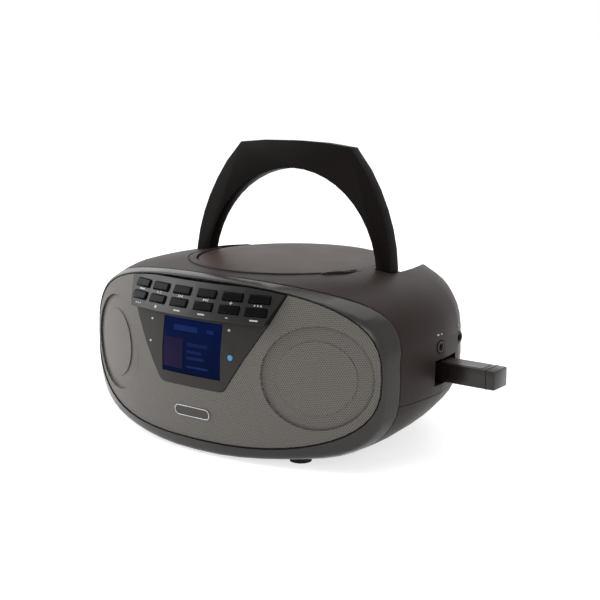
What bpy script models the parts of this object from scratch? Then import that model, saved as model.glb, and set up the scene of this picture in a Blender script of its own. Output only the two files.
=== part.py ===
"""Portable disc radio with a carrying handle, one object per piece, in metres, +Z up.

The front looks along -Y.  Everything on the bowed front is first built flat, with y = 0 as the front
surface, and then bent by front_y(), so neighbours keep the same gaps after bending.
"""

from math import atan, cos, pi, radians, sin

import bmesh
import bpy
from mathutils import Matrix, Vector

GAP = 0.0004  # clearance between neighbouring pieces

# Cabinet: superellipse sections lofted along Y
BODY_HALF_W = 0.1450
BODY_MID_Z = 0.0665
BODY_TOP_H = 0.0628
BODY_LOW_H = 0.0665
BASE_Z = 0.002
DECK_RISE = 0.0017  # the deck climbs this much from the front edge to the lid
TOP_POWERS = (2.68, 3.84)  # roundness of the upper half, front and rear
LOW_POWERS = (3.49, 2.28)
FRONT_LIFT = 0.0020  # the underside climbs this much towards the front edge
FRONT_ROUND = 1.05  # and its corners grow this much rounder
TOP_CHANGE_Y = (-0.0950, -0.0300)  # where the front roundness turns into the rear one
LOW_CHANGE_Y = (-0.0900, 0.0340)
LIFT_CHANGE_Y = (-0.1100, -0.0700)
PLAN_MID_Y = -0.003
PLAN_REAR = 0.109
PLAN_FRONT = 0.200
PLAN_POWER = 2.0
TOP_DROP_POWER = 6.2
LOW_DROP_POWER = 5.2
WALL = 0.0025
SPLIT_Z = 0.046
RING_POINTS = 56
INNER_RING_POINTS = 36

# Bowed front
FRONT_Y = -0.113
FASCIA_HALF_W = 0.1350
FASCIA_MID_Z = 0.0681
FASCIA_TOP_H = 0.0593
FASCIA_LOW_H = 0.0565
FASCIA_POWERS = (2.68, 2.81)  # roundness of its upper and lower half
BOW = 0.0436  # how far back the front bends at BOW_HALF_W from the middle
BOW_HALF_W = 0.1365
BOW_POWER = 2.2
LEAN_MID_Z = 0.064
LEAN_TOP = 0.0106
LEAN_LOW = 0.0024
BEZEL_DEPTH = 0.012
RIM_PROUD = 0.0010
RIM_ROUND = 0.0030
REBATE = (0.0007, 0.0012)  # width and depth of the dark groove round the grille
BAFFLE_Y = (0.0042, 0.0067)
GRILLE_T = 0.0016

# Speakers
SPEAKER_X = 0.095
SPEAKER_Z = 0.067
SPEAKER_R = 0.0365
SEAT_DEPTH = 0.0102
SEAT_TRIM_R = 0.0408  # the speaker's flange seats inside this; the rim round it stays whole

# Control panel and keys
PANEL_LOW_Z = 0.0515
PANEL_STEP_Z = 0.1025
PANEL_TOP_Z = 0.126
PANEL_LOW_HALF = 0.0295
PANEL_STEP_HALF = 0.0625
PANEL_TOP_HALF = 0.073
PANEL_FACE_Y = -0.0006
PANEL_BACK_Y = 0.0032
BANK_LOW_Y = -0.0065
BANK_TOP_Y = -0.0012
PANEL_WALL = 0.0022
KEY_SIZE = (0.0165, 0.0060)
KEY_PROUD = 0.0012
KEY_TRAVEL = 0.0010
KEY_COLUMNS = (-0.0545, -0.0335, -0.0115, 0.0115, 0.0335, 0.0545)
KEY_ROWS = (0.1192, 0.1108)
KEY_DEPTH = 0.0045
STEM_DEPTH = 0.0065
WINDOW_SIZE = (0.055, 0.040)
WINDOW_Z = 0.0795
LED_X = 0.0355
LED_Z = 0.077
FRONT_BOARD_Y = -0.0975
FRONT_BOARD_POSTS = ((-0.022, 0.0550), (0.022, 0.0550), (-0.036, 0.0930), (0.036, 0.0930))

# Disc bay and lid
LID_Y = 0.008
LID_R = 0.0740
LID_RIM_Z = 0.1250
LID_TOP_Z = 0.1306
LID_SEAT_Z = 0.1243
LID_HINGE_Y = 0.0800
LID_HINGE_Z = 0.1250
LID_EAR_X = 0.014  # near the middle, where the folding handle's arch passes well behind the ears
LID_SWING = 0.0013  # room behind the lid, for its rim as it opens
WELL_R = 0.0625
WELL_OPENING_R = 0.0700
WELL_FLOOR_Z = 0.1100
NOTCH_ANGLE = radians(-27)

# Handle
PIVOT_Y = 0.0072
PIVOT_Z = 0.1160
HANDLE_T = 0.0110
HANDLE_BASE_HALF = 0.0946
HANDLE_TOP_HALF = 0.0551
HANDLE_CORNER_H = 0.0988
HANDLE_CROWN_H = 0.1036
HANDLE_SIDE_POWER = 2.13
ARCH_HALF = 0.0822
ARCH_H = 0.0823
CHANNEL_FLOOR_Z = 0.1092
HANDLE_LEAN = radians(4.4)  # raised, it stops a little past upright
PIVOT_PIN_R = 0.0022
CHANNEL_CLEAR = 0.0016
ISLAND_TOP_Z = 0.1262  # behind the lid, the deck inside the trough stands lower than the lid's edge
ISLAND_Y = 0.010  # from here to the rear

# Right side sockets
USB_Y = 0.003
USB_Z = 0.0620
USB_FLOOR_X = 0.1330
JACK_DEPTH = 0.0150
JACK_Z = 0.081
JACK_YS = (-0.009, 0.026)

# Battery bay
BAY_X = 0.050
BAY_Y = (0.0115, 0.0665)
BAY_TOP_Z = 0.031
DOOR_MARGIN = 0.002
DOOR_T = 0.0022

# Boards and transformer
BOARD_Z = 0.0560
BOARD_POST_X = (-0.0575, 0.0590)
BOARD_POST_Y = (-0.0340, 0.0560)
TRANSFORMER_Z = 0.0190
TRANSFORMER_RIB_X = (-0.088, -0.068)

# Rear
AERIAL_Y = 0.1115
AERIAL_Z = 0.1010
AERIAL_X = 0.062
INLET_X = -0.042
INLET_FACE_Y = 0.0985
INLET_Z = 0.031

# Disc mechanism
HUB_Z = 0.1095
CHASSIS_TOP_Z = 0.0945
RAIL_X = 0.017
RAIL_Z = 0.1020
RAIL_R = 0.0015
PICKUP_Y = -0.018
SCREW_X = 0.027

BLACK = (0.020, 0.018, 0.017)
CABINET = (0.042, 0.037, 0.035)
SILVER = (0.150, 0.145, 0.140)
LID_GREY = (0.075, 0.066, 0.062)
METAL = (0.55, 0.55, 0.56)
COPPER = (0.45, 0.20, 0.08)
BOARD = (0.02, 0.10, 0.04)
PAPER = (0.03, 0.03, 0.032)
SCREEN = (0.004, 0.012, 0.060)
GLOW = (0.15, 0.65, 0.90)


# ---------------------------------------------------------------- scene and materials

def clear_scene():
    for item in list(bpy.data.objects):
        bpy.data.objects.remove(item, do_unlink=True)


def new_collection(name):
    collection = bpy.data.collections.new(name)
    bpy.context.scene.collection.children.link(collection)
    return collection


def move_to(item, collection):
    for owner in list(item.users_collection):
        owner.objects.unlink(item)
    collection.objects.link(item)


def paint(item, colour, roughness=0.5, metallic=0.0):
    material = bpy.data.materials.new(item.name)
    material.use_nodes = True
    shader = material.node_tree.nodes["Principled BSDF"]
    shader.inputs["Base Color"].default_value = (*colour, 1.0)
    shader.inputs["Roughness"].default_value = roughness
    shader.inputs["Metallic"].default_value = metallic
    item.data.materials.clear()
    item.data.materials.append(material)


def finish(item, colour, roughness=0.5, metallic=0.0, smooth=35):
    """Colour the piece and shade it smooth up to an angle."""
    move_to(item, PARTS)
    paint(item, colour, roughness, metallic)
    item.data.shade_smooth()
    item.data.set_sharp_from_angle(angle=radians(smooth))
    return item


# ---------------------------------------------------------------- primitive pieces

def from_bmesh(name, mesh_builder):
    mesh = bpy.data.meshes.new(name)
    bmesh.ops.recalc_face_normals(mesh_builder, faces=mesh_builder.faces[:])
    mesh_builder.to_mesh(mesh)
    mesh_builder.free()
    item = bpy.data.objects.new(name, mesh)
    CUTTERS.objects.link(item)
    return item


def box(name, low, high):
    """An axis-aligned box between two corners."""
    builder = bmesh.new()
    size = [b - a for a, b in zip(low, high)]
    centre = [(a + b) / 2 for a, b in zip(low, high)]
    scale = Matrix.Diagonal((*size, 1.0))
    bmesh.ops.create_cube(builder, size=1.0, matrix=Matrix.Translation(centre) @ scale)
    return from_bmesh(name, builder)


AXIS_TURN = {
    "X": Matrix.Rotation(pi / 2, 4, "Y"),
    "Y": Matrix.Rotation(-pi / 2, 4, "X"),
    "Z": Matrix.Identity(4),
}


def rod(name, start, length, radius, axis="Z", sides=24):
    """A cylinder from its start point along +axis."""
    builder = bmesh.new()
    turn = AXIS_TURN[axis]
    middle = Vector(start) + turn.to_3x3() @ Vector((0, 0, length / 2))
    bmesh.ops.create_cone(
        builder, cap_ends=True, segments=sides, radius1=radius, radius2=radius, depth=length,
        matrix=Matrix.Translation(middle) @ turn,
    )
    return from_bmesh(name, builder)


def turned(name, profile, place, sides=32):
    """A closed (radius, height) profile turned about its own Z by a Screw modifier."""
    mesh = bpy.data.meshes.new(name)
    points = [(radius, 0.0, height) for radius, height in profile]
    edges = [(i, i + 1) for i in range(len(points) - 1)]
    if profile[0][0] > 0 and profile[-1][0] > 0:
        edges.append((len(points) - 1, 0))
    mesh.from_pydata(points, edges, [])
    item = bpy.data.objects.new(name, mesh)
    CUTTERS.objects.link(item)
    screw = item.modifiers.new("Turn", "SCREW")
    screw.steps = sides
    screw.render_steps = sides
    screw.use_merge_vertices = True
    screw.merge_threshold = 0.00001
    screw.use_normal_calculate = True
    bake(item)
    builder = bmesh.new()
    builder.from_mesh(item.data)
    bmesh.ops.recalc_face_normals(builder, faces=builder.faces[:])
    builder.transform(place)
    builder.to_mesh(item.data)
    builder.free()
    return item


def prism(name, outline, near_y, far_y):
    """A flat (x, z) outline extruded along Y, from a filled 2D curve."""
    curve = bpy.data.curves.new(name, "CURVE")
    curve.dimensions = "2D"
    curve.fill_mode = "BOTH"
    curve.extrude = (far_y - near_y) / 2
    spline = curve.splines.new("POLY")
    spline.points.add(len(outline) - 1)
    for point, (x, z) in zip(spline.points, outline):
        point.co = (x, z, 0.0, 1.0)
    spline.use_cyclic_u = True
    item = bpy.data.objects.new(name, curve)
    CUTTERS.objects.link(item)
    turn = Matrix.Translation((0, (near_y + far_y) / 2, 0)) @ Matrix.Rotation(pi / 2, 4, "X")
    return curve_to_mesh(item, turn)


def curve_to_mesh(item, place):
    """Replace a curve object by a welded mesh of the same name, moved by place."""
    name = item.name
    bpy.context.view_layer.update()
    graph = bpy.context.evaluated_depsgraph_get()
    mesh = bpy.data.meshes.new_from_object(item.evaluated_get(graph))
    bpy.data.objects.remove(item, do_unlink=True)
    builder = bmesh.new()
    builder.from_mesh(mesh)
    bmesh.ops.remove_doubles(builder, verts=builder.verts[:], dist=0.000005)
    bmesh.ops.dissolve_limit(
        builder, angle_limit=radians(0.2), verts=builder.verts[:], edges=builder.edges[:]
    )
    builder.transform(place)
    return from_bmesh(name, builder)


def loft(name, rings):
    """A closed skin over rings of equal length, capped at both ends."""
    builder = bmesh.new()
    loops = [[builder.verts.new(point) for point in ring] for ring in rings]
    count = len(loops[0])
    for near, far in zip(loops, loops[1:]):
        for i in range(count):
            j = (i + 1) % count
            builder.faces.new((near[i], near[j], far[j], far[i]))
    builder.faces.new(loops[0])
    builder.faces.new(loops[-1])
    return from_bmesh(name, builder)


# ---------------------------------------------------------------- changes to a piece

def bake(item):
    """Put the result of the modifiers into the mesh."""
    bpy.context.view_layer.update()
    graph = bpy.context.evaluated_depsgraph_get()
    mesh = bpy.data.meshes.new_from_object(item.evaluated_get(graph))
    item.modifiers.clear()
    item.data = mesh
    return item


def weld(item, distance=0.00002):
    """Close up the slivers that a chain of Booleans leaves, and merge flat neighbours."""
    bake(item)
    builder = bmesh.new()
    builder.from_mesh(item.data)
    bmesh.ops.remove_doubles(builder, verts=builder.verts[:], dist=distance)
    bmesh.ops.dissolve_degenerate(builder, edges=builder.edges[:], dist=distance)
    bmesh.ops.dissolve_limit(
        builder, angle_limit=radians(0.5), verts=builder.verts[:], edges=builder.edges[:]
    )
    bmesh.ops.triangulate(builder, faces=builder.faces[:])
    builder.to_mesh(item.data)
    builder.free()
    return item


def combine(item, other, operation, solver="EXACT"):
    modifier = item.modifiers.new(other.name, "BOOLEAN")
    modifier.solver = solver
    modifier.operation = operation
    modifier.object = other
    other.hide_render = True
    other.display_type = "WIRE"
    return item


def cut(item, *others):
    for other in others:
        combine(item, other, "DIFFERENCE")
    return item


def fuse(item, *others):
    for other in others:
        combine(item, other, "UNION")
    return item


def keep(item, other):
    return combine(item, other, "INTERSECT")


def round_edges(item, width, segments=2, angle=40):
    bevel = item.modifiers.new("Round", "BEVEL")
    bevel.width = width
    bevel.segments = segments
    bevel.limit_method = "ANGLE"
    bevel.angle_limit = radians(angle)
    return item


def place_about(item, origin):
    """Put the object's origin on its joint without moving its shape."""
    item.data.transform(Matrix.Translation(-Vector(origin)))
    item.location = origin
    return item


# ---------------------------------------------------------------- the bowed front

def front_y(x, z):
    """Depth of the front surface: bowed in plan, leaning back above and below the middle."""
    bow = BOW * (abs(x) / BOW_HALF_W) ** BOW_POWER
    above = max(0.0, z - LEAN_MID_Z) / 0.060
    below = max(0.0, LEAN_MID_Z - z) / 0.040
    return FRONT_Y + bow + LEAN_TOP * above ** 2 + LEAN_LOW * below ** 2


def bend(item):
    """Carry a flat-built piece onto the bowed front."""
    bake(item)
    builder = bmesh.new()
    builder.from_mesh(item.data)
    for step in range(-7, 8):
        slice_at(builder, (step * 0.0190, 0, 0), (1, 0, 0))
    for step in range(4):
        slice_at(builder, (0, 0, 0.0150 + step * 0.0310), (0, 0, 1))
    bmesh.ops.triangulate(builder, faces=builder.faces[:])
    for vertex in builder.verts:
        vertex.co.y += front_y(vertex.co.x, vertex.co.z)
    builder.to_mesh(item.data)
    builder.free()
    return item


def slice_at(builder, point, normal):
    everything = builder.verts[:] + builder.edges[:] + builder.faces[:]
    bmesh.ops.bisect_plane(builder, geom=everything, dist=0.000001, plane_co=point, plane_no=normal)


def superellipse(half_w, heights, powers, mid_z, count):
    """An (x, z) outline whose upper and lower half each have their own height and roundness."""
    points = []
    for i in range(count):
        angle = 2 * pi * i / count
        c, s = cos(angle), sin(angle)
        half = 0 if s >= 0 else 1
        x = half_w * abs(c) ** (2 / powers[half]) * (1 if c >= 0 else -1)
        z = heights[half] * abs(s) ** (2 / powers[half]) * (1 if s >= 0 else -1)
        points.append((x, mid_z + z))
    return points


def fascia_outline(inset):
    heights = (FASCIA_TOP_H - inset, FASCIA_LOW_H - inset)
    return superellipse(FASCIA_HALF_W - inset, heights, FASCIA_POWERS, FASCIA_MID_Z, 56)


def panel_outline(grow, top=0.0):
    """Trapezoid round the keys and the display, with rounded lower corners."""
    corner = 0.006
    centre_x = PANEL_LOW_HALF - corner * 0.55
    right = []
    for i in range(4):
        angle = radians(-90 + 20 * i)
        reach = corner + grow
        right.append((centre_x + reach * cos(angle), PANEL_LOW_Z + corner + reach * sin(angle)))
    right.append((PANEL_STEP_HALF + grow, PANEL_STEP_Z))
    flare = (PANEL_TOP_HALF - PANEL_STEP_HALF) / (PANEL_TOP_Z - PANEL_STEP_Z)
    right.append((PANEL_TOP_HALF + grow + flare * top, PANEL_TOP_Z + top))
    return right + [(-x, z) for x, z in reversed(right)]


def bank_y(x, z):
    """World depth of the key bank's tilted face."""
    share = (z - PANEL_STEP_Z) / (PANEL_TOP_Z - PANEL_STEP_Z)
    return front_y(x, z) + BANK_LOW_Y + (BANK_TOP_Y - BANK_LOW_Y) * share


def surface_frame(x, z, depth):
    """A frame on the front: local -Y points out of the surface depth(x, z)."""
    step = 0.002
    yaw = atan((depth(x + step, z) - depth(x - step, z)) / (2 * step))
    tilt = atan((depth(x, z + step) - depth(x, z - step)) / (2 * step))
    turn = Matrix.Rotation(yaw, 4, "Z") @ Matrix.Rotation(-tilt, 4, "X")
    return Matrix.Translation((x, depth(x, z), z)) @ turn


# ---------------------------------------------------------------- cabinet

def ease(y, ends):
    """0 before the first end, 1 after the second, smooth between them."""
    share = min(1.0, max(0.0, (y - ends[0]) / (ends[1] - ends[0])))
    return share * share * (3 - 2 * share)


def section_sizes(y, inset):
    """Half width, then height and roundness of the upper and of the lower half, at one depth."""
    reach = PLAN_REAR - inset if y > PLAN_MID_Y else PLAN_FRONT
    share = min(1.0, abs(y - PLAN_MID_Y) / reach)
    half_w = (BODY_HALF_W - inset) * (1 - share ** PLAN_POWER) ** (1 / PLAN_POWER)
    drop = share if y > PLAN_MID_Y else 0.0
    climb = ease(y, TOP_CHANGE_Y)
    round_off = ease(y, LOW_CHANGE_Y)
    top = BODY_TOP_H + DECK_RISE * climb - inset
    top *= (1 - drop ** TOP_DROP_POWER) ** (1 / TOP_DROP_POWER)
    front = 1 - ease(y, LIFT_CHANGE_Y)
    low = BODY_LOW_H - FRONT_LIFT * front - inset
    low *= (1 - drop ** LOW_DROP_POWER) ** (1 / LOW_DROP_POWER)
    top_power = TOP_POWERS[0] + (TOP_POWERS[1] - TOP_POWERS[0]) * climb
    low_power = LOW_POWERS[0] + (LOW_POWERS[1] - LOW_POWERS[0]) * round_off - FRONT_ROUND * front
    return half_w, top, top_power, low, low_power


def side_x(y, z):
    """How far out the cabinet's side is at a depth and a height."""
    half_w, top, top_power, low, low_power = section_sizes(y, 0.0)
    height, power = (top, top_power) if z > BODY_MID_Z else (low, low_power)
    return half_w * (1 - (abs(z - BODY_MID_Z) / height) ** power) ** (1 / power)


def section(y, inset, count):
    """One superellipse section of the cabinet, as points in space."""
    half_w, top, top_power, low, low_power = section_sizes(y, inset)
    outline = superellipse(half_w, (top, low), (top_power, low_power), BODY_MID_Z, count)
    return [(x, y, max(z, BASE_Z + inset)) for x, z in outline]


def body_solid(name, inset, count=RING_POINTS):
    stations = [-0.150, -0.110, -0.088, -0.072, -0.056, -0.040, -0.022, PLAN_MID_Y]
    rear = PLAN_REAR - inset
    for degrees_round in (14, 24, 34, 44, 54, 64, 73, 80, 85, 88.5):
        stations.append(PLAN_MID_Y + rear * sin(radians(degrees_round)) ** (2 / PLAN_POWER))
    return loft(name, [section(y, inset, count) for y in stations])


def handle_outline(grow):
    """Outer outline of the handle above its pivot, from the right leg over to the left."""
    right = []
    for i in range(8):
        height = HANDLE_CORNER_H * i / 7
        drop = (HANDLE_BASE_HALF - HANDLE_TOP_HALF) * (i / 7) ** HANDLE_SIDE_POWER
        right.append((HANDLE_BASE_HALF - drop + grow, height))
    right[-1] = (right[-1][0] - 0.0015, HANDLE_CORNER_H)
    rise = HANDLE_CROWN_H - HANDLE_CORNER_H
    right.append((HANDLE_TOP_HALF * 0.95 + grow * 0.5, HANDLE_CORNER_H + rise * 0.35 + grow))
    right.append((HANDLE_TOP_HALF * 0.5, HANDLE_CROWN_H - rise * 0.14 + grow))
    return right + [(0.0, HANDLE_CROWN_H + grow)] + [(-x, z) for x, z in reversed(right)]


def arch_outline(grow):
    """Inner arch of the handle, a half ellipse standing on the pivot line."""
    points = []
    for i in range(25):
        angle = pi * i / 24
        points.append(((ARCH_HALF + grow) * cos(angle), (ARCH_H + grow) * sin(angle)))
    return points


def channel_cutter(name, grow):
    """The trough that the folded handle lies in, open at the rear."""
    start = -HANDLE_T / 2 - CHANNEL_CLEAR - grow
    outer = handle_outline(CHANNEL_CLEAR + grow)
    wide = outer[0][0]
    outer = [(wide, start)] + outer + [(-wide, start)]
    inner = arch_outline(-CHANNEL_CLEAR - grow)
    narrow = inner[0][0]
    inner = [(narrow, start - 0.010)] + inner + [(-narrow, start - 0.010)]
    low = CHANNEL_FLOOR_Z - grow
    fold = Matrix.Translation((0, PIVOT_Y, low + 0.030)) @ Matrix.Rotation(-pi / 2, 4, "X")
    trough = prism(name, outer, -0.030, 0.030)
    island = prism(name + "_island", inner, -0.040, 0.040)
    trough.data.transform(fold)
    island.data.transform(fold)
    return bake(cut(trough, island))


def front_cutter(depth):
    """Everything in front of the given depth behind the bowed surface."""
    return bend(box("front_space", (-0.17, -0.09, -0.02), (0.17, depth, 0.16)))


def usb_recess(grow):
    """Pocket in the side round the socket, longer towards the front, where it is seen from."""
    return box(
        "usb_recess", (USB_FLOOR_X - grow, USB_Y - 0.0185 - grow, USB_Z - 0.0085 - grow),
        (0.160, USB_Y + 0.014 + grow, USB_Z + 0.0100 + grow),
    )


def island_crown():
    """What stands above the lid's rim between the lid and the handle's trough, at the rear."""
    crown = prism("island_crown", arch_outline(GAP - CHANNEL_CLEAR), -0.030, 0.0)
    place = Matrix.Translation((0, PIVOT_Y, ISLAND_TOP_Z))
    crown.data.transform(place @ Matrix.Rotation(-pi / 2, 4, "X"))
    return bake(keep(crown, box("island_rear", (-0.1, ISLAND_Y, 0.1), (0.1, 0.12, 0.2))))


def lid_disc(name, radius, low, high):
    return rod(name, (0, LID_Y, low), high - low, radius, "Z", 48)


def finger_notch():
    """Shallow scoop in the deck under the lid's edge."""
    centre = (LID_R * cos(NOTCH_ANGLE), LID_Y + LID_R * sin(NOTCH_ANGLE), 0.1315)
    builder = bmesh.new()
    squash = Matrix.Diagonal((0.012, 0.017, 0.0105, 1.0))
    place = Matrix.Translation(centre) @ Matrix.Rotation(NOTCH_ANGLE, 4, "Z") @ squash
    bmesh.ops.create_uvsphere(builder, u_segments=16, v_segments=10, radius=1.0, matrix=place)
    return from_bmesh("finger_notch", builder)


def bay_box(name, grow):
    return box(
        name, (-BAY_X - grow, BAY_Y[0] - grow, -0.01), (BAY_X + grow, BAY_Y[1] + grow, BAY_TOP_Z + grow)
    )


def cabinets():
    """Upper and lower shells cut from one hollow body."""
    outer = body_solid("body_outer", 0.0)
    hollow = body_solid("body_hollow", WALL, INNER_RING_POINTS)
    cut(hollow, channel_cutter("channel_wall", WALL), usb_recess(WALL), bay_box("bay_wall", 0.0035))
    bake(hollow)
    shell = cut(outer, hollow, front_cutter(BEZEL_DEPTH + GAP), usb_recess(0.0))
    bake(shell)
    upper = shell.copy()
    upper.data = shell.data.copy()
    upper.name = "upper_cabinet"
    CUTTERS.objects.link(upper)
    lower = shell
    lower.name = "lower_cabinet"
    cut(upper, box("below_split", (-0.2, -0.2, -0.1), (0.2, 0.2, SPLIT_Z + GAP)))
    cut(lower, box("above_split", (-0.2, -0.2, SPLIT_Z), (0.2, 0.2, 0.3)))
    dress_upper(upper)
    dress_lower(lower)


def dress_upper(upper):
    cut(upper, channel_cutter("channel", 0.0))
    cut(upper, lid_disc("well_opening", WELL_OPENING_R, 0.100, 0.140))
    cut(upper, lid_disc("lid_seat", LID_R + 0.0006, LID_SEAT_Z, 0.150))
    relief = rod(
        "lid_relief", (0, LID_Y + LID_SWING, LID_SEAT_Z), 0.150 - LID_SEAT_Z, LID_R + 0.0006, "Z", 48
    )
    cut(upper, relief, finger_notch(), island_crown())
    for side in (-1, 1):
        x = side * LID_EAR_X
        cut(upper, box("ear_slot", (x - 0.0055, 0.064, 0.1155), (x + 0.0055, 0.0835, 0.140)))
        start = side * 0.0955 if side > 0 else -0.1045
        cut(upper, rod("pivot_hole", (start, PIVOT_Y, PIVOT_Z), 0.009, PIVOT_PIN_R + 0.0003, "X", 14))
    for y in JACK_YS:
        cut(upper, rod("jack_hole", (0.122, y, JACK_Z), 0.028, 0.0050, "X", 20))
    cut(
        upper,
        box("socket_slot", (0.126, USB_Y - 0.0079, USB_Z - 0.0039), (0.140, USB_Y + 0.0079, USB_Z + 0.0039))
    )
    cut(upper, rod("aerial_hole", (AERIAL_X, 0.080, AERIAL_Z), 0.040, 0.0046, "Y", 20))
    weld(upper)
    finish(upper, CABINET, 0.42)


def boss(shell, low, high):
    """A block standing on the inside of a shell, kept within the outer skin."""
    block = box("boss", low, high)
    bake(keep(block, body_solid("boss_trim", WALL / 2)))
    fuse(shell, block)


def dress_lower(lower):
    for x in BOARD_POST_X:
        for y in BOARD_POST_Y:
            boss(lower, (x - 0.0022, y - 0.0022, 0.0), (x + 0.0022, y + 0.0022, BOARD_Z - GAP))
    for x in TRANSFORMER_RIB_X:
        boss(lower, (x - 0.0015, 0.004, 0.0), (x + 0.0015, 0.032, TRANSFORMER_Z - GAP))
    rim = DOOR_MARGIN + WALL
    pad_low = (-BAY_X - rim, BAY_Y[0] - rim, BASE_Z)
    fuse(lower, box("bay_pad", pad_low, (BAY_X + rim, BAY_Y[1] + rim, 0.014)))
    bake(lower)
    low = (-BAY_X - DOOR_MARGIN, BAY_Y[0] - DOOR_MARGIN, -0.01)
    high = (BAY_X + DOOR_MARGIN, BAY_Y[1] + DOOR_MARGIN, BASE_Z + DOOR_T + 0.0004)
    cut(lower, box("door_recess", low, high))
    cut(lower, bay_box("bay", 0.0))
    low = (INLET_X - 0.0125, 0.072, INLET_Z - 0.0085)
    cut(lower, box("inlet_hole", low, (INLET_X + 0.0125, 0.130, INLET_Z + 0.0085)))
    weld(lower)
    finish(lower, CABINET, 0.42)


# ---------------------------------------------------------------- front pieces

def rim_ring(depth, inset):
    """The cabinet's outline at one depth behind the bowed front, laid flat."""
    ring = []
    for i in range(RING_POINTS):
        y = FRONT_Y
        for _ in range(10):
            x, _, z = section(y, inset, RING_POINTS)[i]
            y = front_y(x, z) + depth
        ring.append((x, depth, z))
    return ring


def rim_rings():
    """Rings of the rim from its front face back over a rounded edge."""
    rings = []
    for degrees_round in (0, 30, 60, 90):
        angle = radians(degrees_round)
        depth = RIM_ROUND * (1 - cos(angle)) - RIM_PROUD
        rings.append(rim_ring(depth, RIM_ROUND * (1 - sin(angle))))
    return rings + [rim_ring(BEZEL_DEPTH, 0.0)]


def front_bezel():
    """Dark rim with a rolled edge, and the speaker baffle behind it, in one moulding."""
    bezel = loft("front_bezel", rim_rings())
    near, far = BAFFLE_Y
    cut(bezel, prism("fascia_rebate", fascia_outline(-REBATE[0]), -0.010, REBATE[1]))
    cut(bezel, prism("fascia_pocket", fascia_outline(0.0), -0.010, near))
    cut(bezel, prism("baffle_back", fascia_outline(0.0015), far, 0.020))
    gate = prism("panel_gate", panel_outline(-0.0020), -0.010, 0.020)
    keep(gate, prism("gate_limit", fascia_outline(0.0009), -0.020, 0.030))
    cut(bezel, bake(gate))
    for side in (-1, 1):
        ring = rod(
            "seat_ring", (side * SPEAKER_X, far - 0.001, SPEAKER_Z), 0.012, SPEAKER_R + 0.003, "Y", 28
        )
        fuse(bezel, ring)
        cut(bezel, rod("cone_hole", (side * SPEAKER_X, -0.010, SPEAKER_Z), 0.040, SPEAKER_R, "Y", 28))
    bend(bezel)
    for side in (-1, 1):
        trim = rod("seat_trim", (0, SEAT_DEPTH, 0), 0.030, SEAT_TRIM_R, "Y", 28)
        trim.data.transform(surface_frame(side * SPEAKER_X, SPEAKER_Z, plan_only))
        cut(bezel, trim)
    bake(bezel)
    return finish(bezel, BLACK, 0.35)


def plan_only(x, z):
    """The front surface at speaker height, so that a speaker turns but doesn't tilt."""
    return front_y(x, SPEAKER_Z)


def front_grille():
    """Bowed grille sheet with a stepped dish over each speaker."""
    grille = prism("front_grille", fascia_outline(GAP), 0.0, GRILLE_T)
    for side in (-1, 1):
        x = side * SPEAKER_X
        fuse(grille, rod("dish_wall", (x, 0.0004, SPEAKER_Z), 0.0034, SPEAKER_R + 0.0012, "Y", 36))
        cut(grille, rod("dish_space", (x, -0.010, SPEAKER_Z), 0.0122, SPEAKER_R, "Y", 36))
        fuse(grille, rod("dish_centre", (x, 0.0013, SPEAKER_Z), 0.0015, 0.026, "Y", 24))
    cut(grille, prism("panel_notch", panel_outline(GAP, 0.020), -0.020, 0.020))
    bend(grille)
    return finish(grille, SILVER, 0.45, 0.3)


def bank_profile(inset):
    """The panel's side view as (y, z): thin below, a wedge with a tilted face above."""
    face = PANEL_FACE_Y + inset
    return [
        (0.020, PANEL_LOW_Z - 0.010), (face, PANEL_LOW_Z - 0.010), (face, PANEL_STEP_Z + inset),
        (BANK_LOW_Y + inset, PANEL_STEP_Z + inset), (
            BANK_TOP_Y + inset * 0.98, PANEL_TOP_Z - inset * 0.2
        ),
        (0.020, PANEL_TOP_Z - inset * 0.2),
    ]


def bank_block(name, inset):
    """The side view extruded across the front."""
    block = prism(name, bank_profile(inset), -0.080, 0.080)
    block.data.transform(Matrix.Rotation(pi / 2, 4, "Z"))
    return block


def key_columns():
    for row, z in enumerate(KEY_ROWS):
        for column, x in enumerate(KEY_COLUMNS):
            yield row * len(KEY_COLUMNS) + column + 1, x, z


def key_block(name, x, z, grow, near, far):
    """A box lying in the key bank's face, from near to far along its inward normal."""
    half_w, half_h = KEY_SIZE[0] / 2 + grow, KEY_SIZE[1] / 2 + grow
    block = box(name, (-half_w, near, -half_h), (half_w, far, half_h))
    block.data.transform(surface_frame(x, z, bank_y))
    return block


def control_panel():
    panel = prism("control_panel", panel_outline(0.0), -0.020, PANEL_BACK_Y)
    keep(panel, bank_block("panel_side_view", 0.0))
    keep(panel, prism("panel_limit", fascia_outline(GAP), -0.030, 0.030))
    inside = prism("panel_inside", panel_outline(-PANEL_WALL), -0.020, 0.010)
    keep(inside, bank_block("inside_side_view", PANEL_WALL))
    keep(inside, prism("inside_limit", fascia_outline(GAP + PANEL_WALL), -0.030, 0.030))
    cut(panel, bake(inside))
    half_w, half_h = WINDOW_SIZE[0] / 2, WINDOW_SIZE[1] / 2
    window = [(half_w, WINDOW_Z - half_h), (half_w, WINDOW_Z + half_h)]
    window += [(-x, z) for x, z in reversed(window)]
    cut(panel, prism("window_hole", window, -0.010, 0.010))
    cut(panel, rod("led_hole", (LED_X, -0.010, LED_Z), 0.020, 0.0024, "Y", 16))
    bend(panel)
    for _, x, z in key_columns():
        cut(panel, key_block("key_hole", x, z, 0.0003, -0.004, 0.006))
    for x, z in FRONT_BOARD_POSTS:
        start = front_y(x, z) + PANEL_FACE_Y + 0.001
        fuse(panel, rod("board_post", (x, start, z), FRONT_BOARD_Y - GAP - start, 0.0014, "Y", 8))
    bake(panel)
    return finish(panel, BLACK, 0.22)


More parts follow.
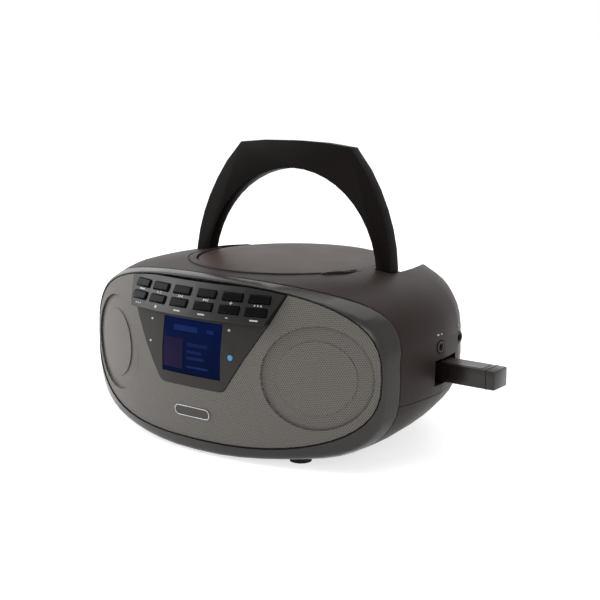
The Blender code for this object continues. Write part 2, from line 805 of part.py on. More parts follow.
def keys():
    for number, x, z in key_columns():
        half_w, half_h = KEY_SIZE[0] / 2, KEY_SIZE[1] / 2
        key = box(f"key_{number:02d}", (-half_w, -KEY_PROUD, -half_h), (half_w, KEY_DEPTH, half_h))
        round_edges(key, 0.0008, 1)
        bake(key)
        deeper = bank_y(KEY_COLUMNS[-1], z) - bank_y(x, z)
        stem = rod(
            "key_stem", (0, KEY_DEPTH - 0.001, 0), STEM_DEPTH + deeper - KEY_DEPTH + 0.001, 0.0012, "Y", 8
        )
        bake(fuse(key, stem))
        key.matrix_world = surface_frame(x, z, bank_y)
        finish(key, BLACK, 0.3)


def display():
    half_w, half_h = WINDOW_SIZE[0] / 2 - GAP, WINDOW_SIZE[1] / 2 - GAP
    outline = [(half_w, WINDOW_Z - half_h), (half_w, WINDOW_Z + half_h)]
    outline += [(-x, z) for x, z in reversed(outline)]
    window = bend(prism("display_window", outline, PANEL_FACE_Y + 0.0004, PANEL_FACE_Y + 0.0019))
    finish(window, SCREEN, 0.08)
    module = box("display_module", (-0.029, 0.0, -0.0203), (0.029, 0.0055, 0.0203))
    module.matrix_world = Matrix.Translation(
        (0, -0.1070, WINDOW_Z)
    ) @ Matrix.Rotation(radians(-5), 4, "X")
    finish(module, SCREEN, 0.3)
    led = rod("status_led", (LED_X, 0, 0), 0.008, 0.0021, "Y", 16)
    led.data.transform(Matrix.Translation((0, front_y(LED_X, LED_Z) - 0.0008, LED_Z)))
    finish(led, GLOW, 0.2)
    board = box("front_board", (-0.040, FRONT_BOARD_Y, 0.050), (0.040, FRONT_BOARD_Y + 0.0016, 0.098))
    finish(board, BOARD, 0.5)
    strip = box("key_board", (-0.057, 0.0, -0.0070), (0.057, 0.0016, 0.009))
    strip.matrix_world = key_board_frame()
    finish(strip, BOARD, 0.5)


def key_board_frame():
    """Behind the inner ends of the outermost keys, with the same tilt as the middle ones."""
    x = KEY_COLUMNS[-1]
    z = sum(KEY_ROWS) / 2
    frame = surface_frame(0.0, z, bank_y)
    inward = frame.to_3x3() @ Vector((0, 1, 0))
    deep = bank_y(x, z) - bank_y(0.0, z)
    return Matrix.Translation(inward * (STEM_DEPTH + KEY_TRAVEL + 0.0008 + deep)) @ frame


def speakers():
    for side, label in ((-1, "left"), (1, "right")):
        frame = surface_frame(side * SPEAKER_X, SPEAKER_Z, plan_only)
        place = frame @ Matrix.Translation((0, SEAT_DEPTH + GAP, 0)) @ Matrix.Rotation(-pi / 2, 4, "X")
        basket = turned(f"speaker_basket_{label}", [
            (0.0385, 0.0), (0.0385, 0.0020), (0.0355, 0.0022), (0.0240, 0.0175), (0.0145, 0.0175),
            (0.0145, 0.0155), (0.0225, 0.0155), (0.0335, 0.0020), (0.0335, 0.0),
        ], place, 24)
        finish(basket, METAL, 0.4, 0.8)
        cone = turned(f"speaker_cone_{label}", [
            (0.0, 0.0065), (0.0060, 0.0072), (0.0110, 0.0105), (0.0290, 0.0010), (0.0305, 0.0002),
            (0.0325, 0.0010), (0.0322, 0.0018), (0.0300, 0.0018), (0.0120, 0.0120), (0.0, 0.0120),
        ], place, 20)
        finish(cone, PAPER, 0.9)
        magnet = turned(f"speaker_magnet_{label}", [
            (0.0, 0.0130), (0.0100, 0.0130), (0.0100, 0.0179), (0.0220, 0.0179), (0.0220, 0.0290),
            (0.0, 0.0290),
        ], place, 20)
        finish(magnet, METAL, 0.35, 0.9)


# ---------------------------------------------------------------- lid and disc mechanism

def at_lid(z=0.0):
    return Matrix.Translation((0, LID_Y, z))


def cd_lid():
    lid = turned("cd_lid", [
        (0.0, LID_TOP_Z), (0.030, LID_TOP_Z - 0.0002), (0.052, LID_TOP_Z - 0.0006),
        (0.066, LID_TOP_Z - 0.0010), (0.0727, LID_TOP_Z - 0.0014), (LID_R, LID_TOP_Z - 0.0024),
        (LID_R, LID_RIM_Z), (0.0705, LID_RIM_Z), (0.0695, LID_RIM_Z + 0.0018),
        (0.050, LID_RIM_Z + 0.0034), (0.0, LID_RIM_Z + 0.0042),
    ], at_lid(), 44)
    for side in (-1, 1):
        x = side * LID_EAR_X
        ear = box(
            "lid_ear", (x - 0.0045, 0.066, LID_HINGE_Z - 0.0030),
            (x + 0.0045, LID_HINGE_Y, LID_HINGE_Z + 0.0020)
        )
        knuckle = rod(
            "lid_knuckle", (x - 0.0045, LID_HINGE_Y, LID_HINGE_Z - 0.0005), 0.009, 0.0030, "X", 16
        )
        fuse(lid, ear, knuckle)
    pin_axis = (-0.040, LID_HINGE_Y, LID_HINGE_Z - 0.0005)
    cut(lid, rod("pin_bore", pin_axis, 0.080, 0.0014, "X", 12))
    bake(lid)
    place_about(lid, (0, LID_HINGE_Y, LID_HINGE_Z - 0.0005))
    finish(lid, LID_GREY, 0.45)


def cd_deck():
    """Well tray under the lid, with the hub hole and the laser's slot."""
    deck = turned("cd_deck", [
        (0.0, WELL_FLOOR_Z), (WELL_R - 0.003, WELL_FLOOR_Z), (WELL_R, WELL_FLOOR_Z + 0.003),
        (WELL_R + 0.0015, 0.1212), (0.0695, 0.1212), (0.0695, 0.1192), (WELL_R + 0.0035, 0.1192),
        (WELL_R + 0.0020, WELL_FLOOR_Z + 0.001), (WELL_R - 0.002, WELL_FLOOR_Z - 0.002),
        (0.0, WELL_FLOOR_Z - 0.002),
    ], at_lid(), 32)
    cut(deck, rod("hub_hole", (0, LID_Y, 0.100), 0.020, 0.0165, "Z", 26))
    cut(deck, box("laser_slot", (-0.011, -0.0535, 0.100), (0.011, LID_Y, 0.120)))
    for x in (-0.03175, 0.03175):
        for y in (-0.042, 0.028):
            low = (x - 0.00175, y, CHASSIS_TOP_Z + GAP)
            fuse(deck, box("chassis_post", low, (x + 0.00175, y + 0.004, 0.1085)))
    finish(bake(deck), BLACK, 0.5)
    hub = turned("turntable_hub", [
        (0.0, HUB_Z + 0.0062), (0.0050, HUB_Z + 0.0060), (0.0070, HUB_Z + 0.0040),
        (0.0073, HUB_Z + 0.0018), (0.0145, HUB_Z + 0.0016), (0.0145, HUB_Z), (0.0040, HUB_Z - 0.0010),
        (0.0040, HUB_Z - 0.0050), (0.0, HUB_Z - 0.0050),
    ], at_lid(), 24)
    place_about(hub, (0, LID_Y, HUB_Z))
    finish(hub, METAL, 0.35, 0.2)


def disc_mechanism():
    chassis = box(
        "mechanism_chassis", (-0.034, -0.070, CHASSIS_TOP_Z - 0.002), (0.034, 0.034, CHASSIS_TOP_Z)
    )
    cut(chassis, box("sled_window", (-0.0230, -0.060, 0.080), (0.0230, -0.004, 0.110)))
    for y in (-0.066, 0.000):
        for side in (-1, 1):
            x = side * RAIL_X
            post = box("rail_post", (x - 0.004, y - 0.0015, 0.0940), (x + 0.004, y + 0.0015, 0.1045))
            fuse(chassis, post)
            cut(chassis, rod("rail_bore", (x, y - 0.003, RAIL_Z), 0.006, RAIL_R + GAP / 2, "Y", 16))
        fuse(
            chassis,
            box("screw_post", (SCREW_X - 0.003, y - 0.0015, 0.0940), (SCREW_X + 0.003, y + 0.0015, 0.1045))
        )
        cut(chassis, rod("screw_bore", (SCREW_X, y - 0.003, RAIL_Z), 0.006, 0.0019, "Y", 16))
    cut(chassis, lid_disc("motor_hole", 0.0055, 0.090, 0.100))
    finish(bake(chassis), METAL, 0.4, 0.6)
    for side, label in ((-1, "left"), (1, "right")):
        rail = rod(f"sled_rail_{label}", (side * RAIL_X, -0.0680, RAIL_Z), 0.070, RAIL_R, "Y", 16)
        finish(rail, METAL, 0.2, 1.0)
    pickup = box("laser_pickup", (-0.021, PICKUP_Y - 0.011, 0.0975), (0.021, PICKUP_Y + 0.011, 0.1060))
    fuse(pickup, rod("lens", (0, PICKUP_Y, 0.1050), 0.0025, 0.0035, "Z", 16))
    for side in (-1, 1):
        cut(pickup, rod("rail_way", (side * RAIL_X, -0.080, RAIL_Z), 0.090, RAIL_R + 0.0003, "Y", 16))
    fuse(
        pickup,
        box("screw_nut", (0.0205, PICKUP_Y - 0.004, 0.0975), (SCREW_X - 0.0022, PICKUP_Y + 0.004, 0.1055))
    )
    place_about(bake(pickup), (0, PICKUP_Y, RAIL_Z))
    finish(pickup, BLACK, 0.5)
    screw = rod("sled_screw", (SCREW_X, -0.0690, RAIL_Z), 0.074, 0.0016, "Y", 12)
    fuse(screw, rod("screw_gear", (SCREW_X, 0.0035, RAIL_Z), 0.0030, 0.0050, "Y", 20))
    place_about(bake(screw), (SCREW_X, 0, RAIL_Z))
    finish(screw, METAL, 0.3, 1.0)
    motor = rod("spindle_motor", (0, LID_Y, 0.0800), 0.0120, 0.0120, "Z", 28)
    fuse(motor, rod("motor_shaft", (0, LID_Y, 0.0910), 0.0160, 0.0012, "Z", 12))
    finish(bake(motor), METAL, 0.3, 0.9)
    hub_bore = rod("shaft_bore", (0, 0, -0.0060), 0.0045, 0.0016, "Z", 12)
    hub = bpy.data.objects["turntable_hub"]
    hub_bore.location = hub.location
    bake(cut(hub, hub_bore))


# ---------------------------------------------------------------- handle

def handle():
    feet = (HANDLE_BASE_HALF, -0.0005), (-HANDLE_BASE_HALF, -0.0005)
    outer = [feet[0]] + handle_outline(0.0)[1:-1] + [feet[1]]
    inner = [(ARCH_HALF, -0.010)] + arch_outline(0.0) + [(-ARCH_HALF, -0.010)]
    outline = prism("handle", outer, -HANDLE_T / 2, HANDLE_T / 2)
    cut(outline, prism("handle_arch", inner, -0.02, 0.02))
    bake(outline)
    round_edges(outline, 0.0022, 2, 45)
    bake(outline)
    for side in (-1, 1):
        inner, outer = ARCH_HALF + 0.0006, HANDLE_BASE_HALF - 0.0006
        start = inner if side > 0 else -outer
        fuse(outline, rod("leg_end", (start, 0, 0), outer - inner, HANDLE_T / 2 - 0.0002, "X", 24))
        pin_start = outer - 0.004 if side > 0 else -outer - 0.0045
        fuse(outline, rod("pivot_pin", (pin_start, 0, 0), 0.0085, PIVOT_PIN_R, "X", 16))
    bake(outline)
    outline.data.transform(Matrix.Rotation(-HANDLE_LEAN, 4, "X"))
    outline.location = (0, PIVOT_Y, PIVOT_Z)
    finish(outline, BLACK, 0.4)


# ---------------------------------------------------------------- sockets, power, aerial, feet

def side_sockets():
    socket = box(
        "usb_socket", (0.1190, USB_Y - 0.0074, USB_Z - 0.0034),
        (USB_FLOOR_X + 0.0004, USB_Y + 0.0074, USB_Z + 0.0034)
    )
    cut(
        socket,
        box("socket_mouth", (0.1205, USB_Y - 0.0066, USB_Z - 0.0027), (0.140, USB_Y + 0.0066, USB_Z + 0.0027))
    )
    finish(bake(socket), METAL, 0.3, 1.0)
    stick = box(
        "usb_stick", (USB_FLOOR_X + 0.0012, USB_Y - 0.0095, USB_Z - 0.0070),
        (0.1865, USB_Y + 0.0095, USB_Z + 0.0070)
    )
    round_edges(stick, 0.0012, 2)
    bake(stick)
    plug = box(
        "usb_plug", (0.1216, USB_Y - 0.0060, USB_Z - 0.00225), (0.136, USB_Y + 0.0060, USB_Z + 0.00225)
    )
    bake(fuse(stick, plug))
    place_about(stick, (USB_FLOOR_X, USB_Y, USB_Z))
    finish(stick, BLACK, 0.3)
    for y, label in zip(JACK_YS, ("aux", "headphone")):
        place = Matrix.Translation((side_x(y, JACK_Z) - JACK_DEPTH, y, JACK_Z)) @ AXIS_TURN["X"]
        jack = turned(f"{label}_jack", [
            (0.0, 0.0), (0.0046, 0.0), (0.0046, 0.0148), (0.0026, 0.0148), (0.0018, 0.0140),
            (0.0018, 0.0020), (0.0, 0.0020),
        ], place, 16)
        finish(jack, BLACK, 0.35)


def power_parts():
    inlet = box(
        "mains_inlet", (INLET_X - 0.0121, INLET_FACE_Y - 0.016, INLET_Z - 0.0081),
        (INLET_X + 0.0121, INLET_FACE_Y, INLET_Z + 0.0081)
    )
    mouth = box(
        "inlet_mouth", (INLET_X - 0.0070, INLET_FACE_Y - 0.014, INLET_Z - 0.0046),
        (INLET_X + 0.0070, 0.120, INLET_Z + 0.0046)
    )
    cut(inlet, mouth)
    for side in (-1, 1):
        cut(
            inlet,
            rod("inlet_lobe", (INLET_X + side * 0.0045, INLET_FACE_Y - 0.014, INLET_Z), 0.030, 0.0056, "Y", 16)
        )
        fuse(
            inlet,
            rod("inlet_pin", (INLET_X + side * 0.0043, INLET_FACE_Y - 0.0145, INLET_Z), 0.0110, 0.0012, "Y", 10)
        )
    finish(bake(inlet), BLACK, 0.4)
    core = box(
        "power_transformer", (-0.0955, 0.000, TRANSFORMER_Z), (-0.0595, 0.036, TRANSFORMER_Z + 0.025)
    )
    fuse(core, box("winding", (-0.0895, -0.006, 0.0230), (-0.0655, 0.042, 0.0400)))
    finish(bake(core), COPPER, 0.5, 0.3)
    board = box("main_board", (-0.062, -0.040, BOARD_Z), (0.070, 0.062, BOARD_Z + 0.0016))
    for x, y, size, height in (
        (-0.03, 0.02, 0.008, 0.016), (-0.008, 0.03, 0.006, 0.012), (0.045, 0.03, 0.007, 0.014)
    ):
        fuse(board, rod("capacitor", (x, y, 0.0570), height, size / 2 * 1.6, "Z", 14))
    fuse(board, box("heat_sink", (0.010, 0.040, 0.0570), (0.034, 0.046, 0.0760)))
    finish(bake(board), BOARD, 0.5)
    low = (-BAY_X - DOOR_MARGIN + GAP, BAY_Y[0] - DOOR_MARGIN + GAP, BASE_Z)
    high = (BAY_X + DOOR_MARGIN - GAP, BAY_Y[1] + DOOR_MARGIN - GAP, BASE_Z + DOOR_T)
    door = box("battery_door", low, high)
    place_about(door, (0, low[1], BASE_Z))
    finish(door, CABINET, 0.45)
    for side, label in ((-1, "left"), (1, "right")):
        x = side * (BAY_X - 0.0012)
        plate = box(
            f"battery_contact_{label}", (x - 0.0006, BAY_Y[0] + 0.004, 0.0080),
            (x + 0.0006, BAY_Y[1] - 0.004, 0.0270)
        )
        for y in (BAY_Y[0] + 0.016, BAY_Y[1] - 0.016):
            start = x if side < 0 else x - 0.0050
            fuse(plate, rod("contact_spring", (start, y, 0.0175), 0.0050, 0.0045, "X", 14))
        finish(bake(plate), METAL, 0.3, 1.0)


def aerial():
    """Telescopic aerial lying across the back: post, knuckle and three tubes."""
    rear_y = AERIAL_Y
    post = rod("aerial_mount", (AERIAL_X, 0.0880, AERIAL_Z), 0.0125, 0.0075, "Y", 24)
    cut(post, body_solid("mount_trim", -0.0003))
    fuse(
        post, rod("aerial_post", (AERIAL_X, 0.0820, AERIAL_Z), rear_y - 0.0080 - 0.0820, 0.0042, "Y", 20)
    )
    finish(bake(post), BLACK, 0.4)
    knuckle = rod("aerial_knuckle", (AERIAL_X, rear_y - 0.0076, AERIAL_Z), 0.0116, 0.0042, "Y", 20)
    slot_low = (AERIAL_X - 0.010, rear_y - 0.0038, AERIAL_Z - 0.0018)
    slot_high = (AERIAL_X + 0.010, rear_y + 0.0100, AERIAL_Z + 0.0018)
    cut(knuckle, box("knuckle_slot", slot_low, slot_high))
    fuse(knuckle, rod("knuckle_pin", (AERIAL_X, rear_y, AERIAL_Z - 0.0030), 0.0060, 0.0012, "Z", 10))
    place_about(bake(knuckle), (AERIAL_X, rear_y, AERIAL_Z))
    finish(knuckle, METAL, 0.25, 1.0)
    outer = rod("aerial_outer_tube", (AERIAL_X - 0.138, rear_y, AERIAL_Z), 0.1300, 0.0030, "X", 16)
    cut(outer, rod("outer_bore", (AERIAL_X - 0.148, rear_y, AERIAL_Z), 0.1280, 0.0024, "X", 16))
    tongue = box(
        "tongue", (AERIAL_X - 0.012, rear_y - 0.0026, AERIAL_Z - 0.0014),
        (AERIAL_X + 0.0022, rear_y + 0.0026, AERIAL_Z + 0.0014)
    )
    fuse(outer, tongue)
    cut(outer, rod("tongue_bore", (AERIAL_X, rear_y, AERIAL_Z - 0.010), 0.020, 0.0015, "Z", 12))
    place_about(bake(outer), (AERIAL_X, rear_y, AERIAL_Z))
    finish(outer, METAL, 0.15, 1.0)
    middle = rod("aerial_middle_tube", (AERIAL_X - 0.142, rear_y, AERIAL_Z), 0.1180, 0.0021, "X", 14)
    cut(middle, rod("middle_bore", (AERIAL_X - 0.148, rear_y, AERIAL_Z), 0.1200, 0.0015, "X", 14))
    finish(bake(middle), METAL, 0.15, 1.0)
    tip = rod("aerial_tip", (AERIAL_X - 0.152, rear_y, AERIAL_Z), 0.1200, 0.0012, "X", 12)
    fuse(tip, rod("aerial_cap", (AERIAL_X - 0.152, rear_y, AERIAL_Z), 0.0060, 0.0032, "X", 14))
    finish(bake(tip), METAL, 0.15, 1.0)


def feet():
    trim = body_solid("foot_trim", -0.0003)
    places = {
        "front_left": (-0.070, -0.0745), "front_right": (0.070, -0.0745), "rear_left": (-0.068, 0.058),
        "rear_right": (0.068, 0.058)
    }
    for label, (x, y) in places.items():
        foot = rod(f"foot_{label}", (x, y, 0.0), 0.012, 0.0080, "Z", 24)
        finish(bake(cut(foot, trim)), BLACK, 0.8)


clear_scene()
PARTS = new_collection("portable_disc_radio")
CUTTERS = new_collection("cutters")
cabinets()
front_bezel()
front_grille()
control_panel()
keys()
display()
speakers()
cd_lid()
cd_deck()
disc_mechanism()
handle()
side_sockets()
power_parts()
aerial()
feet()
for leftover in list(CUTTERS.objects):
    bpy.data.objects.remove(leftover, do_unlink=True)
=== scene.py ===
"""Finishes and fine detail of a portable disc radio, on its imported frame.

The file is laid out as an add-on and run as a script.  Each operator dresses one piece or one
group of like pieces, and the last one builds the stage.
"""

import math

import bmesh
import bpy
from bpy.props import FloatProperty, FloatVectorProperty, IntProperty, PointerProperty
from mathutils import Matrix, Vector
from mathutils.bvhtree import BVHTree


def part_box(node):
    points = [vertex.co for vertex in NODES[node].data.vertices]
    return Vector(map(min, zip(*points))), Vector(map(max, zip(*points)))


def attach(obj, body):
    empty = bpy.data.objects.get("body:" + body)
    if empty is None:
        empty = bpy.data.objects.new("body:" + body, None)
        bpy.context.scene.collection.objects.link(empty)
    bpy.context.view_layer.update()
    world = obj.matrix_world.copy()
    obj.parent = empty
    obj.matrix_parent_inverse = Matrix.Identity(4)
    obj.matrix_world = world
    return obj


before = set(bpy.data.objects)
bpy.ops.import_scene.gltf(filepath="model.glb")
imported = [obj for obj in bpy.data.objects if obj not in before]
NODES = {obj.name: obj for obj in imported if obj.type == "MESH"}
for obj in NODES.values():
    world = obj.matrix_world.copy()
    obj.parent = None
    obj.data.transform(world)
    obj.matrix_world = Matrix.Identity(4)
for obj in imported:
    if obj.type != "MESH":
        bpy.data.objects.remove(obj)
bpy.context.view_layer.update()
STICK_SHOULDER_X = 0.1342  # where the stick's case begins, beyond its plug
KEY_BANK_Z = 0.1030  # lower edge of the dark strip that holds the keys
MASK_BLUR = 0.0003  # half the width of that strip's soft edge
SCREEN_LOW_Z = 0.0600  # lower and upper edge of the backlit picture
SCREEN_HIGH_Z = 0.0990
SCREEN_MIDDLE_Z = 0.0795

bl_info = {
    "name": "Portable Disc Radio Dressing",
    "version": (1, 0, 0),
    "blender": (4, 5, 0),
    "location": "3D View > Sidebar > Radio",
    "description": "Finishes, marks, fixings and studio for a portable disc radio",
    "category": "Object",
}


# ---------------------------------------------------------------- colour and node helpers

def linear(code):
    """An sRGB hex value such as "3A3634" as linear red, green and blue."""
    channels = [int(code[i:i + 2], 16) / 255 for i in (0, 2, 4)]
    return tuple(c / 12.92 if c <= 0.04045 else ((c + 0.055) / 1.055) ** 2.4 for c in channels)


def add_node(tree, kind, inputs=None, **settings):
    """One shader node with its settings; inputs are plain values, or sockets to link from."""
    node = tree.nodes.new(kind)
    for name, value in settings.items():
        setattr(node, name, value)
    for key, value in (inputs or {}).items():
        if isinstance(value, bpy.types.NodeSocket):
            tree.links.new(value, node.inputs[key])
        else:
            node.inputs[key].default_value = value
    return node


def rgba(colour):
    return (*tuple(colour)[:3], 1.0)


def per_mm(size_mm):
    """Noise scale for features of this size, in object coordinates of one metre."""
    return 1000.0 / size_mm


def new_surface(name, colour, roughness, **sockets):
    """A Principled material whose constant values sit on its own sockets."""
    material = bpy.data.materials.new(name)
    material.use_nodes = True
    tree = material.node_tree
    shader = tree.nodes["Principled BSDF"]
    shader.inputs["Base Color"].default_value = rgba(colour)
    shader.inputs["Roughness"].default_value = roughness
    for key, value in sockets.items():
        shader.inputs[key.replace("_", " ")].default_value = value
    material.diffuse_color = rgba(colour)
    return material, tree, shader


def object_place(tree):
    return add_node(tree, "ShaderNodeTexCoord").outputs["Object"]


def noise(tree, size_mm, detail=3.0, roughness=0.5):
    place = object_place(tree)
    inputs = {"Vector": place, "Scale": per_mm(size_mm), "Detail": detail, "Roughness": roughness}
    return add_node(tree, "ShaderNodeTexNoise", inputs).outputs["Fac"]


def spread(tree, value, low, high):
    """Carry a 0 to 1 value to the range low to high."""
    inputs = {"Value": value, "From Min": 0.3, "From Max": 0.7, "To Min": low, "To Max": high}
    return add_node(tree, "ShaderNodeMapRange", inputs).outputs["Result"]


def height_range(tree, low_z, high_z, low=0.0, high=1.0):
    """Carry the height between two levels to the range low to high."""
    height = add_node(tree, "ShaderNodeSeparateXYZ", {0: object_place(tree)}).outputs["Z"]
    inputs = {"Value": height, "From Min": low_z, "From Max": high_z, "To Min": low, "To Max": high}
    return add_node(tree, "ShaderNodeMapRange", inputs).outputs["Result"]


def blend(tree, share, first, second):
    """The first colour where share is 0, the second where it is 1."""
    inputs = {0: share, 6: rgba(first), 7: rgba(second)}
    return add_node(tree, "ShaderNodeMix", inputs, data_type="RGBA").outputs[2]


def vary_colour(tree, shader, value, colour, share):
    """Mottle the base colour a little darker and lighter than the named one."""
    dark = [c * (1 - share) for c in colour]
    light = [min(1.0, c * (1 + share)) for c in colour]
    tree.links.new(blend(tree, value, dark, light), shader.inputs["Base Color"])


def relief(tree, shader, height, depth_mm, edge_mm=0.0):
    """Bump of a real depth, over edges softened to a real radius."""
    inputs = {"Height": height, "Distance": depth_mm / 1000, "Strength": 1.0}
    if edge_mm > 0:
        edge = add_node(tree, "ShaderNodeBevel", {"Radius": edge_mm / 1000}, samples=4)
        inputs["Normal"] = edge.outputs["Normal"]
    bump = add_node(tree, "ShaderNodeBump", inputs)
    tree.links.new(bump.outputs["Normal"], shader.inputs["Normal"])


# ---------------------------------------------------------------- finishes

def moulded_abs(name, colour, roughness, grain_mm, depth_mm, edge_mm, **sockets):
    """ABS from a spark-eroded mould: an even fine grain that breaks reflections into a soft sheen.

    The real grain is about 0.1 mm; it is drawn coarser so that it shows at this size of picture.
    """
    material, tree, shader = new_surface(name, colour, roughness, IOR=1.5, **sockets)
    grain = noise(tree, grain_mm, 4.0, 0.6)
    cloud = noise(tree, 35.0, 2.0)
    vary_colour(tree, shader, spread(tree, cloud, 0.2, 0.8), colour, 0.10)
    wear = spread(tree, cloud, roughness * 0.93, roughness * 1.07)
    tree.links.new(wear, shader.inputs["Roughness"])
    relief(tree, shader, grain, depth_mm, edge_mm)
    return material


def two_tone_abs(name, colour, upper_colour, level, edge_mm):
    """Satin ABS with a lacquered strip above one level: the keys' bank reads as its own dark band."""
    material, tree, shader = new_surface(name, colour, 0.34, IOR=1.5, Specular_IOR_Level=0.24)
    share = height_range(tree, level - MASK_BLUR, level + MASK_BLUR)
    tree.links.new(blend(tree, share, colour, upper_colour), shader.inputs["Base Color"])
    cloud = spread(tree, noise(tree, 20.0, 2.0), 0.31, 0.38)
    tree.links.new(cloud, shader.inputs["Roughness"])
    relief(tree, shader, noise(tree, 0.7, 4.0, 0.6), 0.012, edge_mm)
    return material


def polished_abs(name, colour, roughness, edge_mm, **sockets):
    """ABS from a polished mould: dark and glossy, with faint waviness and handling haze."""
    material, tree, shader = new_surface(name, colour, roughness, IOR=1.5, **sockets)
    haze = noise(tree, 12.0, 3.0)
    vary_colour(tree, shader, spread(tree, haze, 0.2, 0.8), colour, 0.12)
    tree.links.new(spread(tree, haze, roughness * 0.8, roughness * 1.3), shader.inputs["Roughness"])
    relief(tree, shader, noise(tree, 6.0, 2.0), 0.01, edge_mm)
    return material


def lattice(tree, place, pitch, shift):
    """Distance in the front's own plane to the nearest hole centre of one of the two lattices."""
    row = pitch * math.sqrt(3)
    scaled = add_node(
        tree, "ShaderNodeVectorMath", {0: place, 1: (1 / pitch, 0.0, 1 / row), 2: (shift, 0.0, shift)},
        operation="MULTIPLY_ADD",
    )
    cell = add_node(tree, "ShaderNodeVectorMath", {0: scaled.outputs[0]}, operation="FRACTION")
    middle = add_node(
        tree, "ShaderNodeVectorMath", {0: cell.outputs[0], 1: (-0.5, 0.0, -0.5)}, operation="ADD"
    )
    metres = add_node(
        tree, "ShaderNodeVectorMath", {0: middle.outputs[0], 1: (pitch, 0.0, row)}, operation="MULTIPLY"
    )
    return add_node(tree, "ShaderNodeVectorMath", {0: metres.outputs[0]}, operation="LENGTH").outputs["Value"]


def perforated_steel(name, colour, hole_colour, pitch, hole):
    """Painted perforated steel: staggered round holes that read as a fine even mesh.

    Its satin silver paint catches a broad soft highlight, and the holes show the dark baffle.
    """
    material, tree, shader = new_surface(
        name, colour, 0.5, Metallic=0.25, IOR=1.5, Specular_IOR_Level=0.4
    )
    place = object_place(tree)
    near = lattice(tree, place, pitch, 0.0)
    far = lattice(tree, place, pitch, 0.5)
    closest = add_node(tree, "ShaderNodeMath", {0: near, 1: far}, operation="MINIMUM")
    inputs = {
        "Value": closest.outputs[0], "From Min": hole * 0.42, "From Max": hole * 0.58,
        "To Min": 0.0, "To Max": 1.0,
    }
    web = add_node(tree, "ShaderNodeMapRange", inputs, interpolation_type="SMOOTHSTEP").outputs["Result"]
    tree.links.new(blend(tree, web, hole_colour, colour), shader.inputs["Base Color"])
    relief(tree, shader, web, 0.25, 0.5)
    return material


def plated_metal(name, colour, roughness, grain_mm=0.8, stretch=(1.0, 1.0, 1.0), depth_mm=0.004):
    """Plated or drawn metal: bright and neutral, with fine drawing lines along its length."""
    material, tree, shader = new_surface(name, colour, roughness, Metallic=1.0)
    place = add_node(
        tree, "ShaderNodeMapping", {"Vector": object_place(tree), "Scale": stretch}
    ).outputs["Vector"]
    lines = add_node(
        tree, "ShaderNodeTexNoise", {"Vector": place, "Scale": per_mm(grain_mm), "Detail": 2.0}
    ).outputs["Fac"]
    vary_colour(tree, shader, spread(tree, lines, 0.0, 1.0), colour, 0.08)
    tree.links.new(spread(tree, lines, roughness * 0.8, roughness * 1.3), shader.inputs["Roughness"])
    relief(tree, shader, lines, depth_mm, 0.25)
    return material


def dull_solid(name, colour, roughness, grain_mm, depth_mm, share=0.15):
    """Rubber, paper, lacquered board and paint: no gloss to speak of, a visible matt grain."""
    material, tree, shader = new_surface(name, colour, roughness, IOR=1.45)
    grain = noise(tree, grain_mm, 5.0, 0.65)
    vary_colour(tree, shader, spread(tree, grain, 0.0, 1.0), colour, share)
    wear = spread(tree, grain, roughness * 0.9, min(1.0, roughness * 1.1))
    tree.links.new(wear, shader.inputs["Roughness"])
    relief(tree, shader, grain, depth_mm, 0.3)
    return material


def lit_window(name, colour, glow, strength):
    """Coated acrylic over a backlit panel: deep blue that is brighter at the top, with little glare."""
    material, tree, shader = new_surface(name, colour, 0.12, IOR=1.49, Specular_IOR_Level=0.015)
    rise = height_range(tree, SCREEN_LOW_Z, SCREEN_HIGH_Z, 0.35, 1.0)
    cloud = spread(tree, noise(tree, 9.0, 2.0), 0.7, 1.15)
    patchy = add_node(tree, "ShaderNodeMath", {0: rise, 1: cloud}, operation="MULTIPLY").outputs[0]
    light = blend(tree, patchy, [c * 0.3 for c in glow], glow)
    tree.links.new(light, shader.inputs["Emission Color"])
    shader.inputs["Emission Strength"].default_value = strength
    return material


def glowing(name, colour, glow, strength, roughness=0.3):
    """A lit light guide or a lit picture element: its own colour shows in shade too."""
    material, tree, shader = new_surface(name, colour, roughness, IOR=1.58, Specular_IOR_Level=0.04)
    shader.inputs["Emission Color"].default_value = rgba(glow)
    shader.inputs["Emission Strength"].default_value = strength
    fine = noise(tree, 1.5, 2.0)
    vary_colour(tree, shader, spread(tree, fine, 0.2, 0.8), colour, 0.15)
    relief(tree, shader, fine, 0.01)
    return material


# ---------------------------------------------------------------- shaping helpers

def soften(name, angle=32):
    """Shade a CAD node smooth over its small facets; its own vertices stay as they are."""
    item = NODES[name]
    mesh = item.data
    normals = mesh.attributes.get("custom_normal")
    if normals is not None:
        mesh.attributes.remove(normals)
    mesh.shade_smooth()
    weld = item.modifiers.new("Join facets", "WELD")
    weld.merge_threshold = 0.000002
    split = item.modifiers.new("Hard edges", "EDGE_SPLIT")
    split.split_angle = math.radians(angle)
    split.use_edge_sharp = False
    return item


def dress(name, material, angle=32):
    """Give a CAD node its finish."""
    item = soften(name, angle)
    item.data.materials.clear()
    item.data.materials.append(material)
    return item


def surface_of(name):
    """A search tree over one CAD node, for seating small pieces on it."""
    mesh = NODES[name].data
    return BVHTree.FromPolygons([v.co for v in mesh.vertices], [p.vertices for p in mesh.polygons])


def land(tree, start, direction):
    """Where a straight line from start meets the surface, and the surface's normal there."""
    place, normal, _, _ = tree.ray_cast(Vector(start), Vector(direction))
    if place is None:
        raise RuntimeError(f"nothing to seat on from {tuple(start)} towards {tuple(direction)}")
    if normal.dot(Vector(direction)) > 0:
        normal.negate()
    return place, normal


